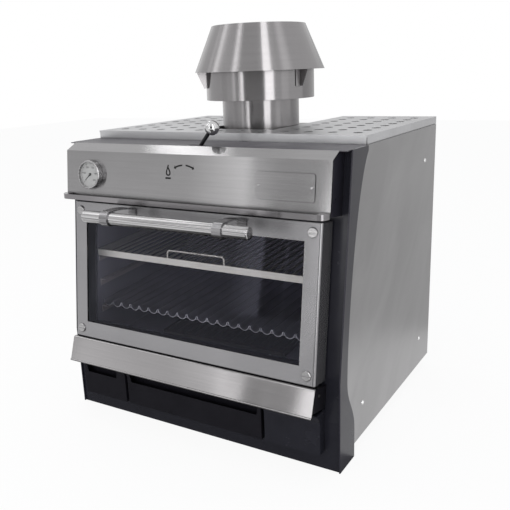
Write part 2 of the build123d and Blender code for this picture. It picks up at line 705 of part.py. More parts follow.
# Lower grill: gutters side by side on two cross bars
GUTTER_T = 1.5
gutter_r = GRILL_PITCH / 2 - 0.8
gutters = int(2 * rack_half / GRILL_PITCH)
BAR_SET = 40.0
BAR_WIDTH = 20.0
with BuildPart() as grill:
    with BuildSketch(Plane.XZ.offset(-FRONT - RACK_FRONT)):
        with Locations((0, GRILL_Z + gutter_r)):
            with GridLocations(GRILL_PITCH, 1, gutters, 1):
                Circle(gutter_r)
                Circle(gutter_r - GUTTER_T, mode=Mode.SUBTRACT)
                with Locations((0, gutter_r / 2 + 1)):
                    Rectangle(2 * gutter_r + 1, gutter_r + 2, mode=Mode.SUBTRACT)
    extrude(amount=-RACK_DEPTH)
    for bar_y in (BAR_SET, RACK_DEPTH - BAR_SET):
        with Locations((0, FRONT + RACK_FRONT + bar_y, GRILL_Z - CROSS_BAR / 2 + FIT)):
            Box(2 * rack_half, BAR_WIDTH, CROSS_BAR + 2 * FIT)
grill.part.label = "grill"
export_step(grill.part, "parts/grill.step")

# Flue pipe, with a collar on the chamber roof and bores for the damper shaft
with BuildPart() as flue_pipe:
    with BuildSketch(Plane.XY.offset(CHAMBER_ROOF)):
        with Locations((0, FRONT + FLUE_Y)):
            Circle(FLUE_R)
            Circle(FLUE_R - FLUE_SHEET, mode=Mode.SUBTRACT)
    extrude(amount=FLUE_TOP - CHAMBER_ROOF)
    with BuildSketch(Plane.XY.offset(CHAMBER_ROOF + PLATE)):
        with Locations((0, FRONT + FLUE_Y)):
            Circle(FLUE_R + 12)
            Circle(FLUE_R - FLUE_SHEET, mode=Mode.SUBTRACT)
    extrude(amount=SHEET)
    with BuildSketch(Plane.XZ.offset(-FRONT - FLUE_Y)):
        with Locations((0, DAMPER_Z)):
            Circle(SHAFT_R + RUN)
    extrude(amount=2 * FLUE_R, both=True, mode=Mode.SUBTRACT)
flue_pipe.part.label = "flue_pipe"
export_step(flue_pipe.part, "parts/flue_pipe.step")

# Draught hood: drum closed round the pipe, cone above it on three brackets
with BuildPart() as hood_drum:
    with BuildSketch(Plane.XY.offset(DRUM_BOTTOM)):
        with Locations((0, FRONT + FLUE_Y)):
            Circle(DRUM_R)
            Circle(FLUE_R, mode=Mode.SUBTRACT)
    extrude(amount=FLUE_SHEET)
    with BuildSketch(Plane.XY.offset(DRUM_BOTTOM)):
        with Locations((0, FRONT + FLUE_Y)):
            Circle(DRUM_R)
            Circle(DRUM_R - FLUE_SHEET, mode=Mode.SUBTRACT)
    extrude(amount=DRUM_TOP - DRUM_BOTTOM)
hood_drum.part.label = "hood_drum"
export_step(hood_drum.part, "parts/hood_drum.step")

cone_slope = (CONE_R - CONE_TOP_R) / (CONE_TOP - CONE_BOTTOM)


def cone_in(z):
    """Inner radius of the cone at a height."""
    return CONE_R - FLUE_SHEET - (z - CONE_BOTTOM) * cone_slope


hood_axis = Axis((0, FRONT + FLUE_Y, 0), (0, 0, 1))
with BuildPart() as hood_cone:
    with BuildSketch(Plane.XZ.offset(-FRONT - FLUE_Y)):
        with BuildLine():
            Polyline(
                (CONE_R, CONE_BOTTOM),
                (CONE_TOP_R, CONE_TOP),
                (cone_in(CONE_TOP), CONE_TOP),
                (cone_in(CONE_BOTTOM), CONE_BOTTOM),
                close=True,
            )
        make_face()
    revolve(axis=hood_axis)
hood_cone.part.label = "hood_cone"
export_step(hood_cone.part, "parts/hood_cone.step")

bracket_top = DRUM_TOP - 2.0
BRACKET_WEB = 2.0
BRACKET_FOOT = 7.0  # degrees of drum under each bracket's foot
BRACKET_TURNS = (-135.0, -15.0, 105.0)
with BuildPart() as hood_brackets:
    for turn in BRACKET_TURNS:
        out = Vector(1, 0, 0).rotate(Axis.Z, turn)
        side_way = Vector(0, -1, 0).rotate(Axis.Z, turn)
        with BuildSketch(Plane(origin=(0, FRONT + FLUE_Y, 0), x_dir=out, z_dir=side_way)):
            with BuildLine():
                Polyline(
                    (DRUM_R, CONE_BRACKET_BOTTOM),
                    (DRUM_R + 8, CONE_BRACKET_BOTTOM),
                    (cone_in(CONE_BOTTOM) - FIT, CONE_BOTTOM),
                    (cone_in(bracket_top) - FIT, bracket_top),
                    (DRUM_R, bracket_top),
                    close=True,
                )
            make_face()
        extrude(amount=BRACKET_WEB)
        foot_plane = Plane(
            origin=(0, FRONT + FLUE_Y, CONE_BRACKET_BOTTOM), x_dir=out, z_dir=(0, 0, 1)
        )
        with BuildSketch(foot_plane):
            with BuildLine():
                CenterArc((0, 0), DRUM_R, -BRACKET_FOOT, BRACKET_FOOT)
                CenterArc((0, 0), DRUM_R + BRACKET_WEB, -BRACKET_FOOT, BRACKET_FOOT)
                Line((DRUM_R, 0), (DRUM_R + BRACKET_WEB, 0))
                foot_way = Vector(1, 0, 0).rotate(Axis.Z, -BRACKET_FOOT)
                Line(foot_way * DRUM_R, foot_way * (DRUM_R + BRACKET_WEB))
            make_face()
        extrude(amount=bracket_top - CONE_BRACKET_BOTTOM)
hood_brackets.part.label = "hood_brackets"
export_step(hood_brackets.part, "parts/hood_brackets.step")

# Top tray: perforated sheet on deep rims, notched round the flue and open at the corners
TRAY_SHEET = 1.5
CORNER_SLOT = 6.0
tray_mid = FRONT + (TRAY_FRONT + TRAY_REAR) / 2
tray_depth = TRAY_REAR - TRAY_FRONT
notch_depth = TRAY_REAR - NOTCH_FRONT
with BuildPart() as top_tray:
    with BuildSketch(Plane.XY.offset(BODY_TOP)) as tray_plan:
        with Locations((0, tray_mid)):
            Rectangle(TRAY_WIDTH, tray_depth)
        with Locations((0, FRONT + TRAY_REAR - notch_depth / 2)):
            Rectangle(2 * NOTCH_HALF, notch_depth, mode=Mode.SUBTRACT)
        offset(amount=-TRAY_SHEET, kind=Kind.INTERSECTION, mode=Mode.SUBTRACT)
    extrude(amount=TRAY_TOP - BODY_TOP)
    with BuildSketch(Plane.XY.offset(TRAY_TOP - TRAY_SHEET)):
        with Locations((0, tray_mid)):
            Rectangle(TRAY_WIDTH, tray_depth)
        with Locations((0, FRONT + TRAY_REAR - notch_depth / 2)):
            Rectangle(2 * NOTCH_HALF, notch_depth, mode=Mode.SUBTRACT)
        for row in range(HOLE_ROWS):
            for column in range(HOLE_COLUMNS):
                hole_x = (column - (HOLE_COLUMNS - 1) / 2) * HOLE_PITCH_X
                hole_y = TRAY_FRONT + HOLE_FIRST + row * HOLE_PITCH_Y
                beside = abs(hole_x) > NOTCH_HALF + HOLE_R + 2
                if beside or hole_y < NOTCH_FRONT - HOLE_R - 2:
                    with Locations((hole_x, FRONT + hole_y)):
                        Circle(HOLE_R, mode=Mode.SUBTRACT)
    extrude(amount=TRAY_SHEET)
    for side in (-1, 1):
        with Locations((side * TRAY_WIDTH / 2, FRONT + TRAY_FRONT, BODY_TOP)):
            Box(2 * TRAY_SHEET, CORNER_SLOT, 2 * (TRAY_TOP - BODY_TOP - 3 * TRAY_SHEET), mode=Mode.SUBTRACT)
top_tray.part.label = "top_tray"
export_step(top_tray.part, "parts/top_tray.step")

# Dome screws of the side panels
SCREW_R = 5.5
SCREW_H = 2.5
SCREW_EDGE = 94.0  # rear screws in front of the rear edge
SCREW_LOW = 112.0
SCREW_HIGH = 615.0
SCREW_FRONT = 135.0
with BuildPart() as panel_screws:
    for side in (-1, 1):
        with BuildSketch(Plane.YZ.offset(side * INNER)):
            with Locations(
                (FRONT + BODY_DEPTH - SCREW_EDGE, SCREW_HIGH),
                (FRONT + BODY_DEPTH - SCREW_EDGE, SCREW_LOW),
                (FRONT + SCREW_FRONT, SCREW_LOW),
            ):
                Circle(SCREW_R)
        extrude(amount=side * SCREW_H, taper=35)
panel_screws.part.label = "panel_screws"
export_step(panel_screws.part, "parts/panel_screws.step")

# Door frame: folded sheet box, open at the back and slotted for the hinge arms
door_back = DOOR_GAP
door_depth = DOOR_STAND - DOOR_GAP
window_w = DOOR_WIDTH - 2 * SIDE_RAIL
window_h = DOOR_HEIGHT - 2 * CROSS_RAIL
door_low = DOOR_MID - DOOR_HEIGHT / 2
hinge_slope = door_low + HINGE_UP
hinge_out = DOOR_STAND - HINGE_BEHIND
slot_w = HINGE_ARM_T + 2 * FIT
slot_top = hinge_slope + HINGE_EYE_R + 0.5
slot_front = hinge_out + HINGE_EYE_R + 0.5
with BuildPart() as door_frame:
    with BuildSketch(FACE.offset(door_back)):
        with Locations((0, DOOR_MID)):
            Rectangle(DOOR_WIDTH, DOOR_HEIGHT)
    extrude(amount=door_depth)
    front_edges = door_frame.faces().sort_by(OUTWARD)[-1].edges()
    fillet(front_edges.filter_by(Axis.X, reverse=True), DOOR_BEND)
    fillet(door_frame.faces().sort_by(OUTWARD)[-1].edges().filter_by(Axis.X), DOOR_SHEET)
    with BuildSketch(FACE.offset(door_back)):
        with Locations((0, DOOR_MID)):
            Rectangle(DOOR_WIDTH - 2 * DOOR_SHEET, DOOR_HEIGHT - 2 * DOOR_SHEET)
    extrude(amount=door_depth - DOOR_SHEET, mode=Mode.SUBTRACT)
    with BuildSketch(FACE.offset(door_back)):
        with Locations((0, DOOR_MID)):
            Rectangle(window_w, window_h)
    extrude(amount=2 * door_depth, mode=Mode.SUBTRACT)
    with BuildSketch(FACE.offset(door_back)):
        with Locations((-HINGE_X, door_low), (HINGE_X, door_low)):
            Rectangle(slot_w, 4 * DOOR_SHEET)
    extrude(amount=slot_front - door_back, mode=Mode.SUBTRACT)
door_frame.part.label = "door_frame"
export_step(door_frame.part, "parts/door_frame.step")

# Glass pane behind the front sheet, held by the black liner of the back frame
glass_front = DOOR_STAND - DOOR_SHEET
with BuildPart() as door_glass:
    with BuildSketch(FACE.offset(glass_front)):
        with Locations((0, DOOR_MID)):
            Rectangle(window_w + 2 * GLASS_LAP, window_h + 2 * GLASS_LAP)
    extrude(amount=-GLASS_T)
door_glass.part.label = "door_glass"
export_step(door_glass.part, "parts/door_glass.step")

liner_w = window_w + 2 * LINER_SET
liner_h = window_h + 2 * LINER_SET
with BuildPart() as door_back_frame:
    with BuildSketch(FACE.offset(door_back)):
        with Locations((0, DOOR_MID)):
            Rectangle(DOOR_WIDTH - 2 * DOOR_SHEET - FIT, DOOR_HEIGHT - 2 * DOOR_SHEET - FIT)
            Rectangle(liner_w, liner_h, mode=Mode.SUBTRACT)
        with Locations((-HINGE_X, door_low), (HINGE_X, door_low)):
            Rectangle(slot_w, 2 * (slot_top - door_low), mode=Mode.SUBTRACT)
    extrude(amount=DOOR_SHEET)
    with BuildSketch(FACE.offset(door_back)):
        with Locations((0, DOOR_MID)):
            Rectangle(liner_w + 2 * SHEET, liner_h + 2 * SHEET)
            Rectangle(liner_w, liner_h, mode=Mode.SUBTRACT)
    extrude(amount=glass_front - GLASS_T - door_back)
door_back_frame.part.label = "door_back_frame"
export_step(door_back_frame.part, "parts/door_back_frame.step")

SEAL_SET = 4.0  # seal outside the mouth's edge
seal_w = MOUTH_WIDTH + 2 * SEAL_SET
seal_h = MOUTH_HEIGHT + 2 * SEAL_SET
with BuildPart() as door_seal:
    with BuildSketch(FACE.offset(door_back)):
        with Locations((0, DOOR_MID)):
            Rectangle(seal_w + 2 * SEAL_WIDTH, seal_h + 2 * SEAL_WIDTH)
            Rectangle(seal_w, seal_h, mode=Mode.SUBTRACT)
    extrude(amount=-(DOOR_GAP - FIT))
door_seal.part.label = "door_seal"
export_step(door_seal.part, "parts/door_seal.step")

# Four big slotted screws at the door's corners
SLOT_CUT = 2.5
CORNER_SCREW_T = 3.5
CORNER_SCREW_UP = 22.0  # from the door's upper and lower edges
screws_w = DOOR_WIDTH - 2 * CORNER_SCREW_EDGE
screws_h = DOOR_HEIGHT - 2 * CORNER_SCREW_UP
with BuildPart() as door_screws:
    with BuildSketch(FACE.offset(DOOR_STAND)):
        with Locations((0, DOOR_MID)):
            with GridLocations(screws_w, screws_h, 2, 2):
                Circle(CORNER_SCREW_R)
    extrude(amount=CORNER_SCREW_T)
    chamfer(door_screws.edges().group_by(OUTWARD)[-1], 1.2)
    with BuildSketch(FACE.offset(DOOR_STAND + CORNER_SCREW_T - 1.5)):
        with Locations((0, DOOR_MID)):
            with GridLocations(screws_w, screws_h, 2, 2):
                Rectangle(3 * CORNER_SCREW_R, SLOT_CUT)
    extrude(amount=CORNER_SCREW_T, mode=Mode.SUBTRACT)
door_screws.part.label = "door_screws"
export_step(door_screws.part, "parts/door_screws.step")

# Hinge blocks with their pins inside the lower rail, and the arms on the frame
block_w = 3 * HINGE_ARM_T
block_low = door_low + DOOR_SHEET
block_high = hinge_slope + HINGE_PIN_R + 8
with BuildPart() as hinge_blocks:
    block_mid = (block_low + block_high) / 2
    with BuildSketch(FACE.offset(glass_front)):
        with Locations((-HINGE_X, block_mid), (HINGE_X, block_mid)):
            Rectangle(block_w, block_high - block_low)
            Rectangle(slot_w, block_high - block_low, mode=Mode.SUBTRACT)
    extrude(amount=-2 * HINGE_BEHIND)
    for side in (-1, 1):
        with BuildSketch(SECTION.offset(side * HINGE_X)):
            with Locations((hinge_slope, hinge_out)):
                Circle(HINGE_PIN_R)
        extrude(amount=block_w / 2, both=True)
hinge_blocks.part.label = "hinge_blocks"
export_step(hinge_blocks.part, "parts/hinge_blocks.step")

with BuildPart() as hinge_arms:
    for side in (-1, 1):
        with BuildSketch(SECTION.offset(side * HINGE_X)):
            with Locations((hinge_slope, hinge_out)):
                Circle(HINGE_EYE_R)
            with Locations((hinge_slope, hinge_out / 2)):
                Rectangle(HINGE_ARM_H, hinge_out)
            with Locations((hinge_slope, hinge_out)):
                Circle(HINGE_PIN_R + RUN, mode=Mode.SUBTRACT)
        extrude(amount=HINGE_ARM_T / 2, both=True)
hinge_arms.part.label = "hinge_arms"
export_step(hinge_arms.part, "parts/hinge_arms.step")

# Handle: tube, domed ends, strap brackets and their bolts
with BuildPart() as handle_tube:
    with BuildSketch(SECTION):
        with Locations((HANDLE_SLOPE, HANDLE_OFF)):
            Circle(HANDLE_R)
            Circle(HANDLE_R - HANDLE_WALL, mode=Mode.SUBTRACT)
    extrude(amount=HANDLE_LENGTH / 2, both=True)
handle_tube.part.label = "handle_tube"
export_step(handle_tube.part, "parts/handle_tube.step")

CAP_T = 6.0
with BuildPart() as handle_caps:
    for side in (-1, 1):
        with BuildSketch(SECTION.offset(side * HANDLE_LENGTH / 2)):
            with Locations((HANDLE_SLOPE, HANDLE_OFF)):
                Circle(HANDLE_R)
        extrude(amount=side * CAP_T)
        with BuildSketch(SECTION.offset(side * HANDLE_LENGTH / 2)):
            with Locations((HANDLE_SLOPE, HANDLE_OFF)):
                Circle(HANDLE_R - HANDLE_WALL)
        extrude(amount=-side * 2 * CAP_T)
    fillet(handle_caps.edges().group_by(Axis.X)[0], 3.5)
    fillet(handle_caps.edges().group_by(Axis.X)[-1], 3.5)
handle_caps.part.label = "handle_caps"
export_step(handle_caps.part, "parts/handle_caps.step")

FOOT_HEIGHT = 36.0
ARCH = 4.0  # rise of the strap between tube and door
foot_top = HANDLE_SLOPE + HANDLE_R + STRAP
foot_mid = foot_top - FOOT_HEIGHT / 2
strap_out = HANDLE_OFF
with BuildPart() as handle_brackets:
    for side in (-1, 1):
        with BuildSketch(SECTION.offset(side * BRACKET_X)):
            with Locations((HANDLE_SLOPE, HANDLE_OFF)):
                Circle(HANDLE_R + STRAP)
            with BuildLine():
                ThreePointArc(
                    (foot_top, strap_out),
                    (foot_top + ARCH, (strap_out + DOOR_STAND) / 2),
                    (foot_top, DOOR_STAND),
                )
                Line((foot_top, DOOR_STAND), (foot_top - STRAP, DOOR_STAND))
                ThreePointArc(
                    (foot_top - STRAP, DOOR_STAND),
                    (foot_top + ARCH - STRAP, (strap_out + DOOR_STAND) / 2),
                    (foot_top - STRAP, strap_out),
                )
                Line((foot_top - STRAP, strap_out), (foot_top, strap_out))
            make_face()
            with Locations((foot_mid, DOOR_STAND + STRAP / 2)):
                Rectangle(FOOT_HEIGHT, STRAP)
            with Locations((HANDLE_SLOPE, HANDLE_OFF)):
                Circle(HANDLE_R, mode=Mode.SUBTRACT)
        extrude(amount=BRACKET_WIDTH / 2, both=True)
handle_brackets.part.label = "handle_brackets"
export_step(handle_brackets.part, "parts/handle_brackets.step")

BOLT_R = 5.0
bolt_slope = foot_mid - ARCH
with BuildPart() as handle_bolts:
    with BuildSketch(FACE.offset(DOOR_STAND + STRAP)):
        with Locations((-BRACKET_X, bolt_slope), (BRACKET_X, bolt_slope)):
            RegularPolygon(BOLT_R, 6)
    extrude(amount=3.5)
handle_bolts.part.label = "handle_bolts"
export_step(handle_bolts.part, "parts/handle_bolts.step")

# Flue damper: shaft through the pipe, disc on it, lever rod in a hub and ball knob
shaft_front = DAMPER_Y - 8.0
shaft_rear = FLUE_Y + FLUE_R + 5.0
with BuildPart() as damper_shaft:
    with BuildSketch(Plane.XZ.offset(-FRONT - shaft_front)):
        with Locations((0, DAMPER_Z)):
            Circle(SHAFT_R)
    extrude(amount=-(shaft_rear - shaft_front))
damper_shaft.part.label = "damper_shaft"
export_step(damper_shaft.part, "parts/damper_shaft.step")

with BuildPart() as damper_flap:
    with BuildSketch(Plane.XY.offset(DAMPER_Z + SHAFT_R)):
        with Locations((0, FRONT + FLUE_Y)):
            Circle(FLAP_R)
    extrude(amount=SHEET)
    with BuildSketch(Plane.XY.offset(DAMPER_Z + SHAFT_R + SHEET)):
        with Locations((0, FRONT + FLUE_Y - FLAP_R / 2), (0, FRONT + FLUE_Y + FLAP_R / 2)):
            Circle(SHAFT_R)
    extrude(amount=3)
damper_flap.part.label = "damper_flap"
export_step(damper_flap.part, "parts/damper_flap.step")

HUB_R = 9.5
HUB_T = 14.0
ROD_R = 4.5
lever_way = Vector(0, 0, 1).rotate(Axis.Y, LEVER_REST)
lever_root = Vector(0, FRONT + DAMPER_Y, DAMPER_Z)
lever_plane = Plane(origin=lever_root, x_dir=(0, 1, 0), z_dir=lever_way)
knob_centre = lever_root + lever_way * LEVER_LENGTH
with BuildPart() as damper_rod:
    with BuildSketch(Plane.XZ.offset(-FRONT - DAMPER_Y + HUB_T / 2)):
        with Locations((0, DAMPER_Z)):
            Circle(HUB_R)
    extrude(amount=-HUB_T)
    with BuildSketch(lever_plane):
        Circle(ROD_R)
    extrude(amount=LEVER_LENGTH - KNOB_R + 6)
    with BuildSketch(Plane.XZ.offset(-FRONT - DAMPER_Y + HUB_T)):
        with Locations((0, DAMPER_Z)):
            Circle(SHAFT_R)
    extrude(amount=-2 * HUB_T, mode=Mode.SUBTRACT)
damper_rod.part.label = "damper_rod"
export_step(damper_rod.part, "parts/damper_rod.step")

with BuildPart() as damper_knob:
    with Locations(knob_centre):
        Sphere(KNOB_R)
    with BuildSketch(lever_plane):
        Circle(ROD_R)
    extrude(amount=LEVER_LENGTH - KNOB_R + 6, mode=Mode.SUBTRACT)
damper_knob.part.label = "damper_knob"
export_step(damper_knob.part, "parts/damper_knob.step")

# Apron below the door: sheet rising to a lip and folded down in front, on two ears
APRON_T = 1.5
EAR_T = 3.0
with BuildPart() as apron:
    with BuildSketch(Plane.YZ):
        with BuildLine() as apron_line:
            FilletPolyline(
                (FRONT - 6, APRON_BACK_Z),
                (FRONT - APRON_LIP, APRON_LIP_Z),
                (FRONT - APRON_HEM, APRON_HEM_Z),
                radius=5,
            )
            offset(amount=APRON_T, side=Side.LEFT)
        make_face()
        with Locations((FRONT - APRON_HEM + APRON_T, APRON_HEM_Z + 2)):
            Circle(2.6)
    extrude(amount=APRON_HALF, both=True)
apron.part.label = "apron"
export_step(apron.part, "parts/apron.step")

ear_slope = (APRON_HEM - APRON_LIP) / (APRON_LIP_Z - APRON_HEM_Z)
flange_slope = (APRON_LIP_Z - APRON_BACK_Z) / (APRON_LIP - 6)
EAR_LOW = 165.0


def flange_z(y):
    """Underside of the apron's flange at a y."""
    return APRON_BACK_Z + (FRONT - 6 - y) * flange_slope - 1.1 * APRON_T


def apron_y(z):
    """Rear of the apron's front at a height, as a y."""
    return FRONT - APRON_LIP - (APRON_LIP_Z - z) * ear_slope + 1.15 * APRON_T


with BuildPart() as apron_ears:
    for side in (-1, 1):
        with BuildSketch(Plane.YZ.offset(side * (APRON_HALF - SHEET))):
            with BuildLine():
                ear_nose = apron_y(APRON_LIP_Z - 9)
                FilletPolyline(
                    (face_y(EAR_LOW - 15), EAR_LOW - 15),
                    (apron_y(EAR_LOW), EAR_LOW),
                    (ear_nose, APRON_LIP_Z - 9),
                    (ear_nose + 10, flange_z(ear_nose + 10)),
                    (FRONT - 6, flange_z(FRONT - 6)),
                    (face_y(APRON_BACK_Z - 3), APRON_BACK_Z - 3),
                    radius=1.5,
                    close=True,
                )
            make_face()
        extrude(amount=-side * EAR_T)
apron_ears.part.label = "apron_ears"
export_step(apron_ears.part, "parts/apron_ears.step")

EAR_SCREW_R = 5.5
EAR_SCREW_OUT = 22.0  # in front of the skirt line
EAR_SCREW_Z = APRON_BACK_Z - 14.0
with BuildPart() as ear_screws:
    for side in (-1, 1):
        with BuildSketch(Plane.YZ.offset(side * (APRON_HALF - SHEET))):
            with Locations((FRONT - EAR_SCREW_OUT, EAR_SCREW_Z)):
                Circle(EAR_SCREW_R)
        extrude(amount=side * SCREW_H, taper=35)
ear_screws.part.label = "ear_screws"
export_step(ear_screws.part, "parts/ear_screws.step")


# Lower front: hollow fronts that flare towards the top, two of them with a pull
def front_shell(left, right, pull_left, pull_right):
    """Hollow front from one x to another, with a cut-out pull in its face."""
    back = FRONT + FRAME_SET - RUN_GAP
    with BuildPart() as shell:
        with BuildSketch(Plane.YZ.offset(left)):
            with BuildLine():
                Polyline(
                    (FRONT - LOWER_OUT, FLARE_Z),
                    (FRONT - LOWER_OUT, LOWER_BOTTOM),
                    (back, LOWER_BOTTOM),
                    (back, LOWER_TOP),
                    (FRONT - LOWER_FLARE, LOWER_TOP),
                )
                TangentArc(
                    (FRONT - LOWER_OUT, FLARE_Z), (FRONT - LOWER_FLARE, LOWER_TOP), tangent=(0, 1)
                )
            make_face()
        extrude(amount=right - left)
        with BuildSketch(Plane.YZ.offset(left + SHEET)):
            with BuildLine():
                Polyline(
                    (FRONT - LOWER_OUT + SHEET, FLARE_Z),
                    (FRONT - LOWER_OUT + SHEET, LOWER_BOTTOM + SHEET),
                    (back - SHEET, LOWER_BOTTOM + SHEET),
                    (back - SHEET, LOWER_TOP - SHEET),
                    (FRONT - LOWER_FLARE + SHEET, LOWER_TOP - SHEET),
                )
                TangentArc(
                    (FRONT - LOWER_OUT + SHEET, FLARE_Z),
                    (FRONT - LOWER_FLARE + SHEET, LOWER_TOP - SHEET),
                    tangent=(0, 1),
                )
            make_face()
        extrude(amount=right - left - 2 * SHEET, mode=Mode.SUBTRACT)
        if pull_right > pull_left:
            pull_height = LOWER_TOP - SHEET - PULL_Z
            with BuildSketch(Plane.XZ.offset(-FRONT + SHEET)):
                with BuildLine():
                    Polyline(
                        (pull_left, PULL_Z),
                        (pull_right, PULL_Z),
                        (pull_right + PULL_SLANT, PULL_Z + pull_height),
                        (pull_left - PULL_SLANT, PULL_Z + pull_height),
                        close=True,
                    )
                make_face()
            extrude(amount=2 * LOWER_FLARE, mode=Mode.SUBTRACT)
    return shell.part


side_left = -LOWER_HALF
side_right = -CENTRE_HALF - PANEL_GAP

ash_drawer_front = front_shell(
    -CENTRE_HALF, CENTRE_HALF, -CENTRE_HALF + PULL_MARGIN, CENTRE_HALF - PULL_MARGIN
)
ash_drawer_front.label = "ash_drawer_front"
export_step(ash_drawer_front, "parts/ash_drawer_front.step")

side_drawer_front = front_shell(
    side_left, side_right, side_left + PULL_MARGIN, side_right - 2.5 * PULL_MARGIN
)
side_drawer_front.label = "side_drawer_front"
export_step(side_drawer_front, "parts/side_drawer_front.step")

cover_panel = front_shell(CENTRE_HALF + PANEL_GAP, LOWER_HALF, 0, 0)
cover_panel.label = "cover_panel"
export_step(cover_panel.moved(Location((0, RUN_GAP, 0))), "parts/cover_panel.step")


# Drawer boxes, open on top, of five boards each, welded to their fronts
def drawer_box(mid, width, length):
    """Open box behind a drawer front: a floor, two ends and two sides."""
    start = FRONT + FRAME_SET - RUN_GAP
    inner_width = width - 2 * SHEET - 2 * FIT
    with BuildPart() as box:
        with BuildSketch(Plane.XY.offset(PAN_BOTTOM)):
            with Locations((mid, start + length / 2)):
                Rectangle(inner_width, length - 2 * SHEET - 2 * FIT)
        extrude(amount=SHEET)
        with BuildSketch(Plane.XY.offset(PAN_BOTTOM)):
            for end in (start + SHEET / 2, start + length - SHEET / 2):
                with Locations((mid, end)):
                    Rectangle(inner_width, SHEET)
            for side in (-1, 1):
                with Locations((mid + side * (width - SHEET) / 2, start + length / 2)):
                    Rectangle(SHEET, length)
        extrude(amount=PAN_TOP - PAN_BOTTOM)
    return box.part


ash_pan = drawer_box(0, 2 * PAN_HALF, PAN_LENGTH)
ash_pan.label = "ash_pan"
export_step(ash_pan, "parts/ash_pan.step")

side_box = drawer_box(side_mid, SIDE_PAN_WIDTH, SIDE_PAN_LENGTH)
side_box.label = "side_box"
export_step(side_box, "parts/side_box.step")

# Angle rails under both boxes, standing on the base
rail_base = PANEL_BOTTOM + CHEEK_T
rail_top = PAN_BOTTOM - FIT
RAIL_LIP = 16.0
RAIL_WALL = 24.0
RAIL_PLAY = 1.0
with BuildPart() as drawer_rails:
    for mid, half, length in (
        (0, PAN_HALF, PAN_LENGTH),
        (side_mid, SIDE_PAN_WIDTH / 2, SIDE_PAN_LENGTH),
    ):
        for side in (-1, 1):
            with BuildSketch(Plane.XZ.offset(-back_y(0) - FIT)):
                with BuildLine():
                    wall = mid + side * (half + RAIL_PLAY)
                    Polyline(
                        (wall - side * RAIL_LIP, rail_top - SHEET),
                        (wall - side * RAIL_LIP, rail_top),
                        (wall, rail_top),
                        (wall, rail_top + RAIL_WALL),
                        (wall + side * SHEET, rail_top + RAIL_WALL),
                        (wall + side * SHEET, rail_base),
                        (wall, rail_base),
                        (wall, rail_top - SHEET),
                        close=True,
                    )
                make_face()
            extrude(amount=-length + 10)
drawer_rails.part.label = "drawer_rails"
export_step(drawer_rails.part, "parts/drawer_rails.step")
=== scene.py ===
# Charcoal oven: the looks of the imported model, in metres, in the model's own axes.
import math

import bpy
from mathutils import Matrix, Vector


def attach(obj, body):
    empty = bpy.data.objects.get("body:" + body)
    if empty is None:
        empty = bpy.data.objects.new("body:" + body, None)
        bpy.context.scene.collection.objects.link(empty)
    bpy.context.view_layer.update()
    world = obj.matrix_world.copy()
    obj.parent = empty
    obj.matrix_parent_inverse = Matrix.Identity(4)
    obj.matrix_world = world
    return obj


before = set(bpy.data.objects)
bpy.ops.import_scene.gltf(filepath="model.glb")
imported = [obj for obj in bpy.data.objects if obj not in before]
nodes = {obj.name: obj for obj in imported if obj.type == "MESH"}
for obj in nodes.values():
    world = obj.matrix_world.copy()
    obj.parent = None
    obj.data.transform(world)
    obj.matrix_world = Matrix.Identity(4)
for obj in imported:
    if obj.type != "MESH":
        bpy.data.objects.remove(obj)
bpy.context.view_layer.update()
scene = bpy.context.scene
scene.view_settings.view_transform = "Standard"

# Camera
# It stands to the right of the oven's front, a little above the tray, where the photograph
# was taken from, and it leans by two degrees.
CAMERA_PLACE = Vector((0.8938, -1.4774, 0.8640))
CAMERA_TARGET = Vector((-0.0620, 0.0847, 0.3430))
CAMERA_LEAN = math.radians(-2.18)
camera_data = bpy.data.cameras.new("camera")
camera_data.sensor_width = 36
camera_data.lens = 47.5
camera_data.shift_x = 0.0153
camera_data.shift_y = 0.0100
camera = bpy.data.objects.new("camera", camera_data)
scene.collection.objects.link(camera)
look_back = (CAMERA_PLACE - CAMERA_TARGET).normalized()
look_right = Vector((0, 0, 1)).cross(look_back).normalized()
look_right = Matrix.Rotation(CAMERA_LEAN, 3, look_back) @ look_right
look_up = look_back.cross(look_right)
camera_axes = Matrix((look_right, look_up, look_back)).transposed()
camera.matrix_world = Matrix.Translation(CAMERA_PLACE) @ camera_axes.to_4x4()
scene.camera = camera


# Studio
# A white floor that keeps part of the oven's shadow, under a white sky. Metal and glass
# show that white, as steel does in a light tent.
def linear(hex_colour):
    """An sRGB hex colour as the linear RGBA that shaders take."""
    values = [int(hex_colour[i : i + 2], 16) / 255 for i in (1, 3, 5)]
    return [v / 12.92 if v <= 0.04045 else ((v + 0.055) / 1.055) ** 2.4 for v in values] + [1]


def add(tree, kind, inputs=(), **settings):
    """A shader node with its settings, and its inputs as (socket, source or constant). A node
    that is given as a source stands for its first output."""
    made = tree.nodes.new("ShaderNode" + kind)
    for name, value in settings.items():
        if hasattr(made, name):
            setattr(made, name, value)
        else:
            made.inputs[name.replace("_", " ")].default_value = value
    for socket, source in inputs:
        if isinstance(source, bpy.types.Node):
            source = source.outputs[0]
        if isinstance(source, bpy.types.NodeSocket):
            tree.links.new(source, made.inputs[socket])
        else:
            made.inputs[socket].default_value = source
    return made


def new_material(name):
    """A new material, and its node tree."""
    mat = bpy.data.materials.new(name)
    mat.use_nodes = True
    return mat, mat.node_tree


def any_ray(tree, first, *others):
    """1 for the rays of these kinds, and 0 for all others."""
    path = add(tree, "LightPath").outputs
    seen = path["Is %s Ray" % first]
    for kind in others:
        seen = add(tree, "Math", [(0, seen), (1, path["Is %s Ray" % kind])], operation="MAXIMUM")
    return seen


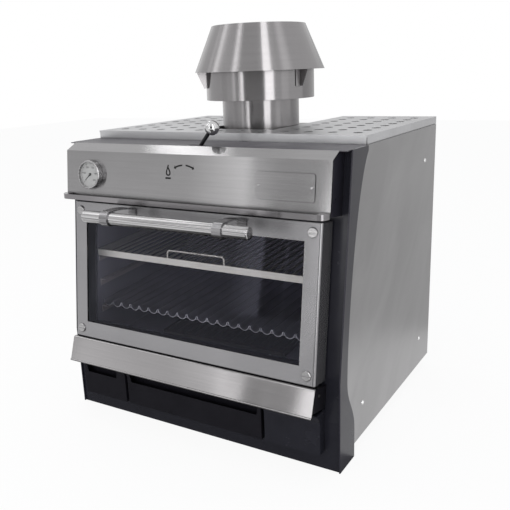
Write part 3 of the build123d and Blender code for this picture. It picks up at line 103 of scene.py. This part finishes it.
sky = bpy.data.worlds.new("white_sky")
scene.world = sky
sky.use_nodes = True
sky_tree = sky.node_tree
sky_tree.nodes.clear()
sky_light = add(sky_tree, "Background", Color=linear("#f4f5f7"), Strength=0.80)
sky_white = add(sky_tree, "Background", Color=(1, 1, 1, 1), Strength=1.0)
sky_seen = any_ray(sky_tree, "Camera", "Glossy", "Transmission")
sky_mix = add(sky_tree, "MixShader", [(0, sky_seen), (1, sky_light), (2, sky_white)])
add(sky_tree, "OutputWorld", [("Surface", sky_mix)])

FLOOR_WHITE = 0.92  # the share that is plain white, and the rest takes the shadow
FLOOR_REACH = 9
FLOOR_Z = -0.0005
floor_paint, floor_tree = new_material("floor_white_paint")
floor_tree.nodes.clear()
floor_plain = add(floor_tree, "BsdfDiffuse", Color=linear("#f2f2f2"))
floor_white = add(floor_tree, "Emission", Color=(1, 1, 1, 1), Strength=1.0)
floor_seen = any_ray(floor_tree, "Camera", "Glossy", "Transmission")
floor_share = add(floor_tree, "Math", [(0, floor_seen), (1, FLOOR_WHITE)], operation="MULTIPLY")
floor_mix = add(floor_tree, "MixShader", [(0, floor_share), (1, floor_plain), (2, floor_white)])
add(floor_tree, "OutputMaterial", [("Surface", floor_mix)])
floor_mesh = bpy.data.meshes.new("floor")
floor_corners = [(-1, -1), (1, -1), (1, 1), (-1, 1)]
floor_spots = [(FLOOR_REACH * x, FLOOR_REACH * y, FLOOR_Z) for x, y in floor_corners]
floor_mesh.from_pydata(floor_spots, [], [(0, 1, 2, 3)])
floor_mesh.materials.append(floor_paint)
floor = bpy.data.objects.new("floor", floor_mesh)
scene.collection.objects.link(floor)


# Soft lamps
# A large one above and a large one in front light only what is dull, and the sky fills in.
# A small one stands behind, and brightens the middle of the fascia's chamfer.
def lamp(name, place, target, size, power):
    """A white area lamp, with its width and height in metres and its power in watts."""
    data = bpy.data.lights.new(name, "AREA")
    data.shape = "RECTANGLE"
    data.size, data.size_y = size
    data.energy = power
    made = bpy.data.objects.new(name, data)
    scene.collection.objects.link(made)
    made.location = place
    made.rotation_euler = (Vector(target) - Vector(place)).to_track_quat("-Z", "Y").to_euler()
    return made


lamp("top_lamp", (-0.2, -0.3, 3.7), (0, 0, 0.4), (2.4, 2.4), 25).visible_glossy = False
lamp("front_lamp", (0.2, -3.4, 1.3), (0, 0, 0.4), (2.4, 1.8), 40).visible_glossy = False
lamp("chamfer_lamp", (-1.31, 0.684, 2.244), (-0.02, -0.25, 0.69), (0.13, 0.6), 1.4)


# Strip lights and flags
# White strips and grey flags stand in a ring round the flue, and three dark flags lie on the
# floor. Only gloss sees them: they draw the streaks and bands in the brushed steel.
RING_RADIUS = 2.8
RING_Y = 0.08
RING_STEP = 6  # degrees of the ring that one face covers
FLAG_Z = 0.0005


def gloss_only(name, spots, faces, strength):
    """Makes a glowing mesh that only gloss sees, of one strength or with one for each point."""
    mesh = bpy.data.meshes.new(name)
    mesh.from_pydata(spots, [], faces)
    paint, tree = new_material(name + "_paint")
    tree.nodes.clear()
    if isinstance(strength, list):
        mesh.attributes.new("shade", "FLOAT", "POINT").data.foreach_set("value", strength)
        strength = add(tree, "Attribute", attribute_name="shade").outputs["Fac"]
    glow = add(tree, "Emission", [("Strength", strength)])
    add(tree, "OutputMaterial", [("Surface", glow)])
    mesh.materials.append(paint)
    made = bpy.data.objects.new(name, mesh)
    scene.collection.objects.link(made)
    made.visible_camera = False
    made.visible_diffuse = False
    made.visible_transmission = False
    made.visible_shadow = False


def ring_row(name, low, high, panels):
    """Panels between two heights, each from one azimuth to another, in degrees from the front,
    with the strengths of its two sides."""
    spots, faces, shades = [], [], []
    for start, end, first, last in panels:
        parts = max(1, round((end - start) / RING_STEP))
        for k in range(parts + 1):
            turn = math.radians(start + (end - start) * k / parts)
            x, y = RING_RADIUS * math.sin(turn), RING_Y - RING_RADIUS * math.cos(turn)
            spots += [(x, y, low), (x, y, high)]
            shades += 2 * [first + (last - first) * k / parts]
            if k < parts:
                faces.append([len(spots) + i for i in (-2, -1, 1, 0)])
    gloss_only(name, spots, faces, shades)


def floor_flag(name, corners, strength):
    """A flag that lies on the floor."""
    gloss_only(name, [(x, y, FLAG_Z) for x, y in corners], [range(len(corners))], strength)


ring_row(
    "low_row",
    0.0,
    0.52,
    [
        (-42, -29, 1.35, 1.0),
        (-28, -25, 0.95, 0.95),
        (-25, -21.6, 1.3, 2.5),
        (-21.4, -18.8, 0.3, 0.4),
        (-18.5, -15.2, 0.45, 0.45),
        (38, 60, 4.0, 4.0),
    ],
)
ring_row(
    "middle_row",
    0.52,
    1.9,
    [
        (-100, -60, 0.9, 0.9),
        (-57, -31, 0.75, 0.85),
        (-30.5, -24.0, 1.0, 1.9),
        (-23.8, -15.2, 0.8, 0.66),
        (-10.5, -5, 4.0, 4.0),
        (-3, 37, 0.2, 0.2),
        (40, 57, 4.0, 4.0),
        (74, 90, 1.3, 1.2),
    ],
)
ring_row("strip_foot", 0.0, 0.26, [(-14.5, -10.8, 0.2, 0.2)])
ring_row("strip_middle", 0.26, 0.74, [(-14.5, -10.8, 3.6, 3.6)])
ring_row("strip_top", 0.74, 1.9, [(-15, -10.8, 0.6, 0.5)])
ring_row("back_row", 0.0, 1.5, [(128, 180, 0.72, 0.72), (-180, -128, 0.62, 0.62)])
ring_row(
    "high_row",
    1.9,
    5.0,
    [
        (-81, -76, 1.5, 1.8),
        (-67, -57, 3.2, 2.4),
        (-24, -18, 4.0, 4.0),
        (-14, 27, 0.88, 0.88),
        (36, 53, 4.2, 3.6),
        (76, 93, 1.6, 1.5),
    ],
)
# painted shade: this dark flag in front of the drawers stands for the oven's shade on the floor,
# which the drawer fronts mirror
floor_flag("drawer_shade_flag", [(-0.9, -0.75), (0.5, -0.75), (0.42, -0.2), (-0.42, -0.2)], 0.2)
floor_flag("strip_flag", [(-0.4, -2.1), (1.2, -2.1), (1.2, -0.76), (0.16, -0.76)], 0.12)
floor_flag("side_flag", [(0.42, 0.66), (0.74, 0.33), (2.6, -1.0), (2.6, 3.6), (0.42, 3.6)], 0.66)

# Side, rear and roof sheets
# Thin stainless sheet, brushed and then handled, so that soft cloudy patches lie over the
# fine grain. The grain is drawn about 3 mm wide, coarser than the real one, or it wouldn't show.
FLUE_Y = 0.0807
HOOD_RADIUS = 0.13  # a mean of the pipe, the drum and the cone


def brushed(
    name,
    along,
    tone,
    rough=0.30,
    stretch=0.6,
    grain=1.0,
    cloud=1.0,
    wave=1.0,
    across=(0, 0, 1),
    metal=1.0,
    drift=(0.17, 0.17, 0.17),
    swing=0,
):
    """Brushed stainless steel with its grain along X, Y or Z, or round the flue for R. Its
    clouds are as long as drift says, in metres, and lie askew by swing, in radians."""
    mat, tree = new_material(name)
    bsdf = tree.nodes["Principled BSDF"]
    bsdf.inputs["Metallic"].default_value = metal
    bsdf.inputs["Anisotropic"].default_value = stretch
    place = add(tree, "TexCoord").outputs["Object"]
    if along == "R":
        # the pattern is rolled off, so that the way round becomes X
        split = add(tree, "SeparateXYZ", [("Vector", place)]).outputs
        depth = add(tree, "Math", [(0, split["Y"]), (1, FLUE_Y)], operation="SUBTRACT")
        angle = add(tree, "Math", [(0, depth), (1, split["X"])], operation="ARCTAN2")
        arc = add(tree, "Math", [(0, angle), (1, HOOD_RADIUS)], operation="MULTIPLY")
        place = add(tree, "CombineXYZ", [("X", arc), ("Z", split["Z"])])
    if along == "X":
        # a fold that faces sideways is brushed upright
        split = add(tree, "SeparateXYZ", [("Vector", place)]).outputs
        normal = add(tree, "NewGeometry").outputs["True Normal"]
        facing = add(tree, "SeparateXYZ", [("Vector", normal)]).outputs["X"]
        aside = add(tree, "Math", [(0, facing)], operation="ABSOLUTE")
        sideways = add(tree, "Math", [(0, aside), (1, 0.7)], operation="GREATER_THAN")
        turned = add(
            tree, "CombineXYZ", [("X", split["Z"]), ("Y", split["Y"]), ("Z", split["X"])]
        )
        chosen = add(tree, "Mix", [(0, sideways), (4, place), (5, turned)], data_type="VECTOR")
        place = chosen.outputs[1]
    # per metre: lines 3 mm across and 250 mm long, scratches 0.7 mm across and 60 mm long
    line_scale = [330, 330, 330]
    scratch_scale = [1400, 1400, 1400]
    axis = {"X": 0, "Y": 1, "Z": 2, "R": 0}[along]
    line_scale[axis] = 4
    scratch_scale[axis] = 16
    line_place = add(tree, "Mapping", [("Vector", place)], Scale=line_scale)
    lines = add(tree, "TexNoise", [("Vector", line_place)], Scale=1.0, Detail=2, Roughness=0.6)
    scratch_place = add(tree, "Mapping", [("Vector", place)], Scale=scratch_scale)
    scratches = add(tree, "TexNoise", [("Vector", scratch_place)], Scale=1.0, Detail=2)
    drift_place = add(
        tree,
        "Mapping",
        [("Vector", place)],
        vector_type="TEXTURE",
        Scale=drift,
        Rotation=(swing, 0, 0),
    )
    clouds = add(
        tree,
        "TexNoise",
        [("Vector", drift_place)],
        Scale=1.0,
        Detail=4,
        Roughness=0.5,
        Distortion=0.8,
    )
    # the sheet isn't quite flat: it bends over about 0.3 m
    bends = add(tree, "TexNoise", [("Vector", place)], Scale=3.5, Detail=1)
    grain_tone = add(
        tree,
        "MapRange",
        [("Value", lines)],
        From_Min=0.3,
        From_Max=0.7,
        To_Min=1 - 0.05 * grain,
        To_Max=1 + 0.05 * grain,
    )
    cloud_tone = add(
        tree,
        "MapRange",
        [("Value", clouds)],
        From_Min=0.35,
        From_Max=0.65,
        To_Min=1 - 0.10 * cloud,
        To_Max=1 + 0.10 * cloud,
    )
    both = add(tree, "Math", [(0, grain_tone), (1, cloud_tone)], operation="MULTIPLY")
    # painted shade in the seams: the colour darkens within 6 mm of a neighbour, as ambient
    # occlusion
    near = add(tree, "AmbientOcclusion", Distance=0.006, samples=8).outputs["AO"]
    painted_seam_shade = add(tree, "MapRange", [("Value", near)], From_Min=0.25, From_Max=0.85, To_Min=0.25)
    grain_and_seam_shade = add(tree, "Math", [(0, both), (1, painted_seam_shade)], operation="MULTIPLY")
    colour = add(tree, "VectorMath", [(0, linear(tone)[:3]), ("Scale", grain_and_seam_shade)], operation="SCALE")
    tree.links.new(colour.outputs[0], bsdf.inputs["Base Color"])
    gloss = add(
        tree,
        "MapRange",
        [("Value", clouds)],
        From_Min=0.35,
        From_Max=0.65,
        To_Min=rough * (1 - 0.12 * cloud),
        To_Max=rough * (1 + 0.12 * cloud),
    )
    tree.links.new(gloss.outputs[0], bsdf.inputs["Roughness"])
    scratch_bump = add(
        tree, "Bump", [("Height", scratches)], Strength=0.15 * grain, Distance=0.0001
    )
    sheet_bump = add(
        tree, "Bump", [("Height", bends), ("Normal", scratch_bump)], Distance=0.001 * wave
    )
    tree.links.new(sheet_bump.outputs[0], bsdf.inputs["Normal"])
    way = add(tree, "CombineXYZ", X=across[0], Y=across[1], Z=across[2])
    tree.links.new(way.outputs[0], bsdf.inputs["Tangent"])
    return mat


def dress(mat, *names, bevel=0.0):
    """Puts a material on CAD nodes, with a small bevel where their edges catch light."""
    for name in names:
        target = nodes[name]
        target.data.materials.clear()
        target.data.materials.append(mat)
        if bevel:
            edge = target.modifiers.new("edge", "BEVEL")
            edge.width = bevel
            edge.segments = 2
            edge.limit_method = "ANGLE"
            edge.angle_limit = math.radians(40)
            edge.harden_normals = True


side_steel = brushed(
    "stainless_side_sheet",
    "Y",
    "#979697",
    0.34,
    stretch=0.3,
    grain=0.2,
    cloud=1.2,
    drift=(0.16, 0.34, 0.10),
    swing=0.9,
    wave=1.2,
)
dress(side_steel, "side_panel_left", "side_panel_right")
rear_steel = brushed("stainless_rear_sheet", "X", "#959495", 0.36, stretch=0.3, cloud=0.7, wave=2.5)
dress(rear_steel, "rear_panel")
roof_steel = brushed(
    "stainless_roof_sheet",
    "X",
    "#8f8e8f",
    0.36,
    stretch=0.3,
    cloud=1.2,
    wave=1.5,
    across=(0, 1, 0),
)
dress(roof_steel, "roof_panel")

# Base plate, drawer rails and drawer boxes
# Galvanised sheet, folded and spot-welded. It is greyer and duller than the stainless, with
# the broad mottle of zinc.
zinc_sheet = brushed(
    "galvanised_sheet", "X", "#838382", 0.45, stretch=0.1, cloud=2.0, across=(0, 1, 0)
)
dress(zinc_sheet, "base_plate", "drawer_rails", "ash_pan", "side_box")


# Front frame, cheeks and lower fronts
# Steel sheet in heat-proof black enamel with a satin gloss: almost black and slightly cool,
# with a faint orange peel of about 2 mm and a film of dust in patches of about 60 mm.
def shaded(hex_colour, factor):
    """A hex colour made darker or lighter by a factor."""
    return [min(1, value * factor) for value in linear(hex_colour)[:3]] + [1]


def enamel(name, tone, rough=0.30, ior=1.33, peel=1.0):
    """A satin black enamel with a slight orange peel."""
    mat, tree = new_material(name)
    bsdf = tree.nodes["Principled BSDF"]
    bsdf.inputs["IOR"].default_value = ior
    place = add(tree, "TexCoord").outputs["Object"]
    skin = add(tree, "TexNoise", [("Vector", place)], Scale=480, Detail=2)
    dust = add(tree, "TexNoise", [("Vector", place)], Scale=16, Detail=6, Roughness=0.65)
    colour = add(
        tree, "Mix", [(0, dust), (6, shaded(tone, 0.7)), (7, shaded(tone, 1.3))], data_type="RGBA"
    )
    tree.links.new(colour.outputs[2], bsdf.inputs["Base Color"])
    gloss = add(
        tree,
        "MapRange",
        [("Value", dust)],
        From_Min=0.3,
        From_Max=0.7,
        To_Min=rough * 0.85,
        To_Max=rough * 1.2,
    )
    tree.links.new(gloss.outputs[0], bsdf.inputs["Roughness"])
    bump = add(tree, "Bump", [("Height", skin)], Strength=0.10 * peel, Distance=0.0002)
    tree.links.new(bump.outputs[0], bsdf.inputs["Normal"])
    return mat


frame_black = enamel("black_enamel_frame", "#202027", 0.24, ior=1.40)
dress(frame_black, "front_frame", bevel=0.0018)
black = enamel("black_enamel", "#2c2b33")
dress(black, "cheek_left", "cheek_right", bevel=0.0025)
box_black = enamel("black_enamel_box", "#24232b")
dress(box_black, "fascia_box", bevel=0.0006)
# painted shade: the drawer fronts and the apron's ears get a darker copy of the black enamel, for
# the shade under the apron
shaded_low_black = enamel("black_enamel_low_painted_shade", "#19181d", 0.30, ior=1.25)
dress(shaded_low_black, "ash_drawer_front", "side_drawer_front", "apron_ears", bevel=0.0006)
dress(frame_black, "cover_panel", bevel=0.0006)

# Top cap and feet
# The cap is a strip of the same enamelled steel in front of the tray, greyed by heat. The feet
# are moulded in black rubber, which is dull and dark.
cap_black = enamel("cap_black_enamel", "#4c4a4f", 0.42)
dress(cap_black, "top_cap", bevel=0.0004)
foot_black = enamel("moulded_black_feet", "#101011", 0.6)
dress(foot_black, "feet")

# Fascia, ledge and nameplate
# Stainless sheet brushed along its length, and bent back in a chamfer that catches the top
# light. The plate is bare, with a rivet at each end.
LEAN = math.radians(7.4)
up_front = (0, math.sin(LEAN), math.cos(LEAN))
fascia_steel = brushed(
    "stainless_fascia",
    "X",
    "#979697",
    0.16,
    stretch=1.0,
    grain=0.6,
    cloud=0.2,
    wave=0.2,
    across=up_front,
)
dress(fascia_steel, "fascia", bevel=0.0025)
ledge_steel = brushed(
    "stainless_ledge", "X", "#848284", 0.16, stretch=1.0, cloud=0.2, wave=0.2, across=up_front
)
dress(ledge_steel, "ledge", bevel=0.0006)
plate_steel = brushed(
    "stainless_nameplate", "X", "#929192", 0.20, stretch=0.9, cloud=0.2, wave=0.3, across=up_front
)
dress(plate_steel, "nameplate", bevel=0.0009)

# Lever marks on the fascia
# Printed in black ink, 0.1 mm thick: a flame over a bar where the lever stands open, and two
# curved arrows that follow the lever's knob. They are drawn in millimetres.
ink = enamel("printed_black", "#0d0d0e", 0.5, peel=0.2)
HALF_INK = 0.00005
FRONT_Y, FRONT_Z = -0.27729, 0.120  # the lower end of the leaning front
FLAME_X, FLAME_SLOPE, BAR_SLOPE = -0.0435, 0.5246, 0.5085
ARROW_X, ARROW_SLOPE = 0.0, 0.539
FLAME_OUT, ARROW_OUT = 0.0631, 0.0632


def print_on_front(art, x, slope, out):
    """Prints a curve on the oven, at a place along, up and out of the leaning front."""
    art.extrude = HALF_INK
    art.materials.append(ink)
    made = bpy.data.objects.new(art.name, art)
    scene.collection.objects.link(made)
    y = FRONT_Y + slope * math.sin(LEAN) - out * math.cos(LEAN)
    z = FRONT_Z + slope * math.cos(LEAN) + out * math.sin(LEAN)
    lean = Matrix.Rotation(math.radians(90) - LEAN, 4, "X")
    made.matrix_world = Matrix.Translation((x, y, z)) @ lean
    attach(made, "oven")


def mark(name, outlines):
    """Flat artwork from closed outlines, each with the word whether it is smooth."""
    art = bpy.data.curves.new(name, "CURVE")
    art.dimensions = "2D"
    art.fill_mode = "BOTH"
    for points, smooth in outlines:
        spline = art.splines.new("BEZIER")
        spline.bezier_points.add(len(points) - 1)
        spline.use_cyclic_u = True
        for point, (a, b) in zip(spline.bezier_points, points):
            point.co = (a / 1000, b / 1000, 0)
            point.handle_left_type = "AUTO" if smooth else "VECTOR"
            point.handle_right_type = "AUTO" if smooth else "VECTOR"
    return art


def curved_arrow(start, end, radius=54.0, wide=1.7, head=7.0):
    """The outline of an arc in degrees from upright, with its arrow's head at the end."""
    head_turn = 5.5 if end > start else -5.5
    last = end - head_turn
    turns = [start + (last - start) * i / 8 for i in range(9)]
    rim = [(math.radians(t), radius + wide) for t in turns]
    rim.append((math.radians(last), radius + head / 1.6))
    rim.append((math.radians(end), radius))
    rim.append((math.radians(last), radius - head / 1.6))
    rim += [(math.radians(t), radius - wide) for t in reversed(turns)]
    return [(r * math.sin(a), r * math.cos(a) - radius) for a, r in rim]


flame = [(0, -11), (5.5, -8.5), (6.5, -3), (4.0, 3.5), (1.2, 8)]
flame += [(0.4, 14), (-3.2, 8), (-4.2, 4.5), (-6.3, -1), (-5.3, -8.5)]
heart = [(0, -8.0), (2.9, -5.9), (2.7, -2.4), (0.7, 1.6), (-0.8, 3.8), (-2.8, -1.2), (-2.7, -5.9)]
bar = [(-7.5, -2), (7.5, -2), (7.5, 2), (-7.5, 2)]
flame_art = mark("flame_mark", [(flame, True), (heart, True)])
print_on_front(flame_art, FLAME_X, FLAME_SLOPE, FLAME_OUT)
print_on_front(mark("flame_bar", [(bar, False)]), FLAME_X, BAR_SLOPE, FLAME_OUT)
for name, side in (("arrow_to_open", -1), ("arrow_to_shut", 1)):
    arrow_art = mark(name, [(curved_arrow(5 * side, 31 * side), False)])
    print_on_front(arrow_art, ARROW_X, ARROW_SLOPE, ARROW_OUT)


# Screws and rivets
# Turned and polished steel: near mirror, with fine polishing lines, drawn about 2 mm apart, that
# darken and lighten its colour; on the handle tube they are so strong that they are partly painted
# reflection streaks. The ears' screws are blackened.
def polished(name, tone, rough, along="X", streak=0.5):
    """Polished steel with fine lines along one axis."""
    mat, tree = new_material(name)
    bsdf = tree.nodes["Principled BSDF"]
    bsdf.inputs["Metallic"].default_value = 1.0
    place = add(tree, "TexCoord").outputs["Object"]
    scale = [460, 460, 460]
    scale["XYZ".index(along)] = 3
    line_place = add(tree, "Mapping", [("Vector", place)], Scale=scale)
    lines = add(tree, "TexNoise", [("Vector", line_place)], Scale=1.0, Detail=3)
    spread = add(tree, "MapRange", [("Value", lines)], From_Min=0.35, From_Max=0.65)
    dark = shaded(tone, 1 - 0.55 * streak)
    bright = shaded(tone, 1 + 0.35 * streak)
    colour = add(tree, "Mix", [(0, spread), (6, dark), (7, bright)], data_type="RGBA")
    tree.links.new(colour.outputs[2], bsdf.inputs["Base Color"])
    gloss = add(
        tree,
        "MapRange",
        [("Value", lines)],
        From_Min=0.3,
        From_Max=0.7,
        To_Min=rough * 0.7,
        To_Max=rough * 1.4,
    )
    tree.links.new(gloss.outputs[0], bsdf.inputs["Roughness"])
    bump = add(tree, "Bump", [("Height", lines)], Strength=0.6 * streak, Distance=0.0003)
    tree.links.new(bump.outputs[0], bsdf.inputs["Normal"])
    return mat


screw_steel = polished("polished_screws", "#a9a8a9", 0.22, streak=0.3)
dress(screw_steel, "door_screws", "nameplate_rivets", "handle_bolts", bevel=0.0004)
# painted highlight: the side panels' screws get a lighter copy of the screw steel, so that their
# domes read as catching light
highlit_screw_steel = polished("screws_painted_highlight", "#dcdcdc", 0.16, streak=0.1)
dress(highlit_screw_steel, "panel_screws", bevel=0.0004)
dress(ink, "ear_screws", bevel=0.0004)

# Thermometer
# A bright spun bezel over a white printed dial, with a black needle, a tick for every 10 and
# plain numbers from 0 to 500. The ticks are drawn in millimetres.
bezel_steel = polished("spun_bezel", "#b3b2b3", 0.24, streak=0.2)
dress(bezel_steel, "thermometer_case")
dial_paper, dial_tree = new_material("white_dial_print")
dial_bsdf = dial_tree.nodes["Principled BSDF"]
dial_bsdf.inputs["Roughness"].default_value = 0.6
dial_place = add(dial_tree, "TexCoord").outputs["Object"]
dial_grain = add(dial_tree, "TexNoise", [("Vector", dial_place)], Scale=300, Detail=3)
dial_colour = add(
    dial_tree,
    "Mix",
    [(0, dial_grain), (6, linear("#a2a2a2")), (7, linear("#b4b4b3"))],
    data_type="RGBA",
)
dial_tree.links.new(dial_colour.outputs[2], dial_bsdf.inputs["Base Color"])
dress(dial_paper, "thermometer_dial")
dress(ink, "thermometer_needle")
DIAL_X, DIAL_SLOPE, DIAL_OUT = -0.274, 0.506, 0.06685
DIAL_START = -135
TICK_TURN = 5.4
TICK_REACH = 29
LONG_TICK, SHORT_TICK = (5.0, 0.45), (2.6, 0.22)  # length and half width
NUMBER_TURN = 54
NUMBER_REACH = 0.0187
ticks = []
for step in range(51):
    turn = math.radians(DIAL_START + TICK_TURN * step)
    long, wide = LONG_TICK if step % 5 == 0 else SHORT_TICK
    along = Vector((math.sin(turn), math.cos(turn)))
    aside = Vector((math.cos(turn), -math.sin(turn))) * wide
    outer, inner = along * TICK_REACH, along * (TICK_REACH - long)
    corners = (outer + aside, outer - aside, inner - aside, inner + aside)
    ticks.append(([tuple(c) for c in corners], False))
print_on_front(mark("dial_ticks", ticks), DIAL_X, DIAL_SLOPE, DIAL_OUT)
for step in range(6):
    turn = math.radians(DIAL_START + NUMBER_TURN * step)
    number = bpy.data.curves.new("dial_number_%d" % step, "FONT")
    number.body = str(100 * step)
    number.size = 0.0062
    number.align_x = "CENTER"
    number.align_y = "CENTER"
    number_x = DIAL_X + NUMBER_REACH * math.sin(turn)
    number_slope = DIAL_SLOPE + NUMBER_REACH * math.cos(turn)
    print_on_front(number, number_x, number_slope, DIAL_OUT)

# Door and handle
# A folded frame of brushed sheet, held by a slotted screw in each corner, round a black liner.
# The handle is a polished tube with end caps, in two strap brackets.
door_steel = brushed(
    "stainless_door",
    "X",
    "#919092",
    0.24,
    stretch=0.8,
    grain=0.4,
    cloud=0.4,
    wave=0.5,
    across=up_front,
    metal=0.8,
)
dress(door_steel, "door_frame", bevel=0.0025)
liner_black = enamel("black_liner", "#070709", 0.5, ior=1.15, peel=0.0)
dress(liner_black, "door_back_frame")
# partly painted reflection: the tube's strong polishing lines stand in for the bright and dark
# streaks of the room that it mirrors
tube_steel = polished("polished_tube_painted_streaks", "#b0afb0", 0.20, streak=1.0)
dress(tube_steel, "handle_tube", "handle_caps")
strap_steel = polished("polished_straps", "#929193", 0.26, streak=0.4)
dress(strap_steel, "handle_brackets", bevel=0.0006)


# Door glass and dial glass
# Smoked ceramic glass in the door and clear glass over the dial. Light passes straight
# through, and only the camera's own rays are tinted, bend and mirror.
def pane(name, tint, ior, rough, sheen="#ffffff"):
    """Clear or tinted glass, with the tint of what it mirrors as its sheen."""
    mat, tree = new_material(name)
    tree.nodes.clear()
    clear = add(
        tree,
        "BsdfPrincipled",
        Base_Color=linear(tint),
        Roughness=rough,
        IOR=ior,
        Transmission_Weight=1.0,
        Specular_Tint=linear(sheen),
    )
    through = add(tree, "BsdfTransparent", Color=(0.97, 0.97, 0.97, 1))
    light = any_ray(tree, "Diffuse", "Glossy", "Shadow")
    both = add(tree, "MixShader", [(0, light), (1, clear), (2, through)])
    add(tree, "OutputMaterial", [("Surface", both)])
    return mat


dress(pane("smoked_oven_glass", "#dbdde5", 1.32, 0.0, "#dfe1fa"), "door_glass")
dress(pane("dial_glass", "#f4f4f4", 1.40, 0.01), "thermometer_glass")

# Door seal
# A woven glass cord, about 10 mm across, pressed into the back of the door. Its strands are
# drawn 2.4 mm apart, and show when the door is open.
seal_cord, seal_tree = new_material("woven_glass_cord")
seal_bsdf = seal_tree.nodes["Principled BSDF"]
seal_bsdf.inputs["Roughness"].default_value = 0.95
seal_place = add(seal_tree, "TexCoord").outputs["Object"]
weave = add(
    seal_tree,
    "TexWave",
    [("Vector", seal_place)],
    bands_direction="DIAGONAL",
    Scale=260,
    Distortion=2.0,
).outputs["Fac"]
seal_colour = add(
    seal_tree,
    "Mix",
    [(0, weave), (6, linear("#2c2a28")), (7, linear("#5c5954"))],
    data_type="RGBA",
)
seal_tree.links.new(seal_colour.outputs[2], seal_bsdf.inputs["Base Color"])
seal_bump = add(seal_tree, "Bump", [("Height", weave)], Strength=0.6, Distance=0.0006)
seal_tree.links.new(seal_bump.outputs[0], seal_bsdf.inputs["Normal"])
dress(seal_cord, "door_seal")


# Chamber, fire bed and wool
# Heavy plate and a cast grate, blackened by fire: dull, with grey ash in patches and a
# gritty skin of about 1.5 mm. The wool boards are felted and yellow-grey.
def seasoned(name, tone, ash, rough=0.7, marks=9.0, metal=0.0, grit=0.0):
    """Dull used iron or felt, with a second colour in patches, so many a metre."""
    mat, tree = new_material(name)
    bsdf = tree.nodes["Principled BSDF"]
    bsdf.inputs["Metallic"].default_value = metal
    place = add(tree, "TexCoord").outputs["Object"]
    patches = add(tree, "TexNoise", [("Vector", place)], Scale=marks, Detail=4, Roughness=0.55)
    skin = add(tree, "TexNoise", [("Vector", place)], Scale=650, Detail=1)
    spread = add(tree, "MapRange", [("Value", patches)], From_Min=0.4, From_Max=0.7)
    colour = add(
        tree, "Mix", [(0, spread), (6, linear(tone)), (7, linear(ash))], data_type="RGBA"
    )
    tree.links.new(colour.outputs[2], bsdf.inputs["Base Color"])
    gloss = add(
        tree,
        "MapRange",
        [("Value", patches)],
        From_Min=0.3,
        From_Max=0.7,
        To_Min=rough * 0.8,
        To_Max=min(1.0, rough * 1.2),
    )
    tree.links.new(gloss.outputs[0], bsdf.inputs["Roughness"])
    bump = add(tree, "Bump", [("Height", skin)], Strength=grit, Distance=0.0004)
    tree.links.new(bump.outputs[0], bsdf.inputs["Normal"])
    return mat


fired_plate = seasoned("fired_plate", "#54535f", "#676672")
dress(fired_plate, "chamber_floor", "chamber_left", "chamber_right", "chamber_back", "chamber_roof")
dress(fired_plate, "hinge_arms", "hinge_blocks", "damper_flap")
guide_plate = seasoned("fired_guides", "#7d7779", "#8d8789", 0.5, metal=0.3)
dress(guide_plate, "rack_guides")
cast_iron = seasoned("cast_grate_iron", "#1d1c1c", "#34312f", 0.8, marks=20, grit=0.4)
dress(cast_iron, "ember_grate")
wool_board = seasoned("mineral_wool", "#8a7d5c", "#a3966f", 0.95, marks=30, grit=0.4)
dress(wool_board, "insulation")

# Racks
# Bright steel bar and rod above, and folded stainless gutters below. Heat has dulled both,
# but their front edges still shine through the window.
rack_steel = brushed("rack_bar", "X", "#c8c5c0", 0.46, stretch=0.2, cloud=0.8, metal=0.85)
dress(rack_steel, "upper_rack")
gutter_steel = brushed("gutter_sheet", "Y", "#c0bfc8", 0.34, stretch=0.2, across=(1, 0, 0))
dress(gutter_steel, "grill")

# Top tray, flue and draught hood
# The tray is perforated sheet on deep rims. Pipe, drum and cone are rolled sheet brushed
# round, which draws lamps out into upright bands.
tray_steel = brushed(
    "stainless_tray", "X", "#c0c0c2", 0.32, stretch=0.4, grain=0.6, cloud=0.6, across=(0, 1, 0)
)
dress(tray_steel, "top_tray", bevel=0.0008)
hood_steel = brushed(
    "stainless_hood", "R", "#8c8a8b", 0.21, stretch=0.95, grain=0.6, cloud=0.3, wave=0.6
)
dress(hood_steel, "flue_pipe", "hood_drum", "hood_cone")
bracket_steel = brushed("stainless_bracket", "X", "#8f8d8e", 0.3, stretch=0.3, cloud=0.5)
dress(bracket_steel, "hood_brackets")

# Damper lever
# A blackened steel rod in the hub of the damper's shaft, which carries a turned and polished
# steel ball that mirrors the room.
rod_black = enamel("blackened_rod", "#131316", 0.3)
dress(rod_black, "damper_shaft", "damper_rod")
knob_steel = polished("polished_knob", "#c4c4c5", 0.05, streak=0.1)
dress(knob_steel, "damper_knob")

# Apron
# Brushed sheet that rises to a lip below the door and folds down in front, where its
# brushing draws one broad soft streak.
apron_steel = brushed(
    "stainless_apron",
    "X",
    "#9d9b9c",
    0.16,
    stretch=1.0,
    grain=0.6,
    cloud=0.3,
    wave=0.3,
    across=(0, 0.33, 0.94),
)
dress(apron_steel, "apron", bevel=0.0004)
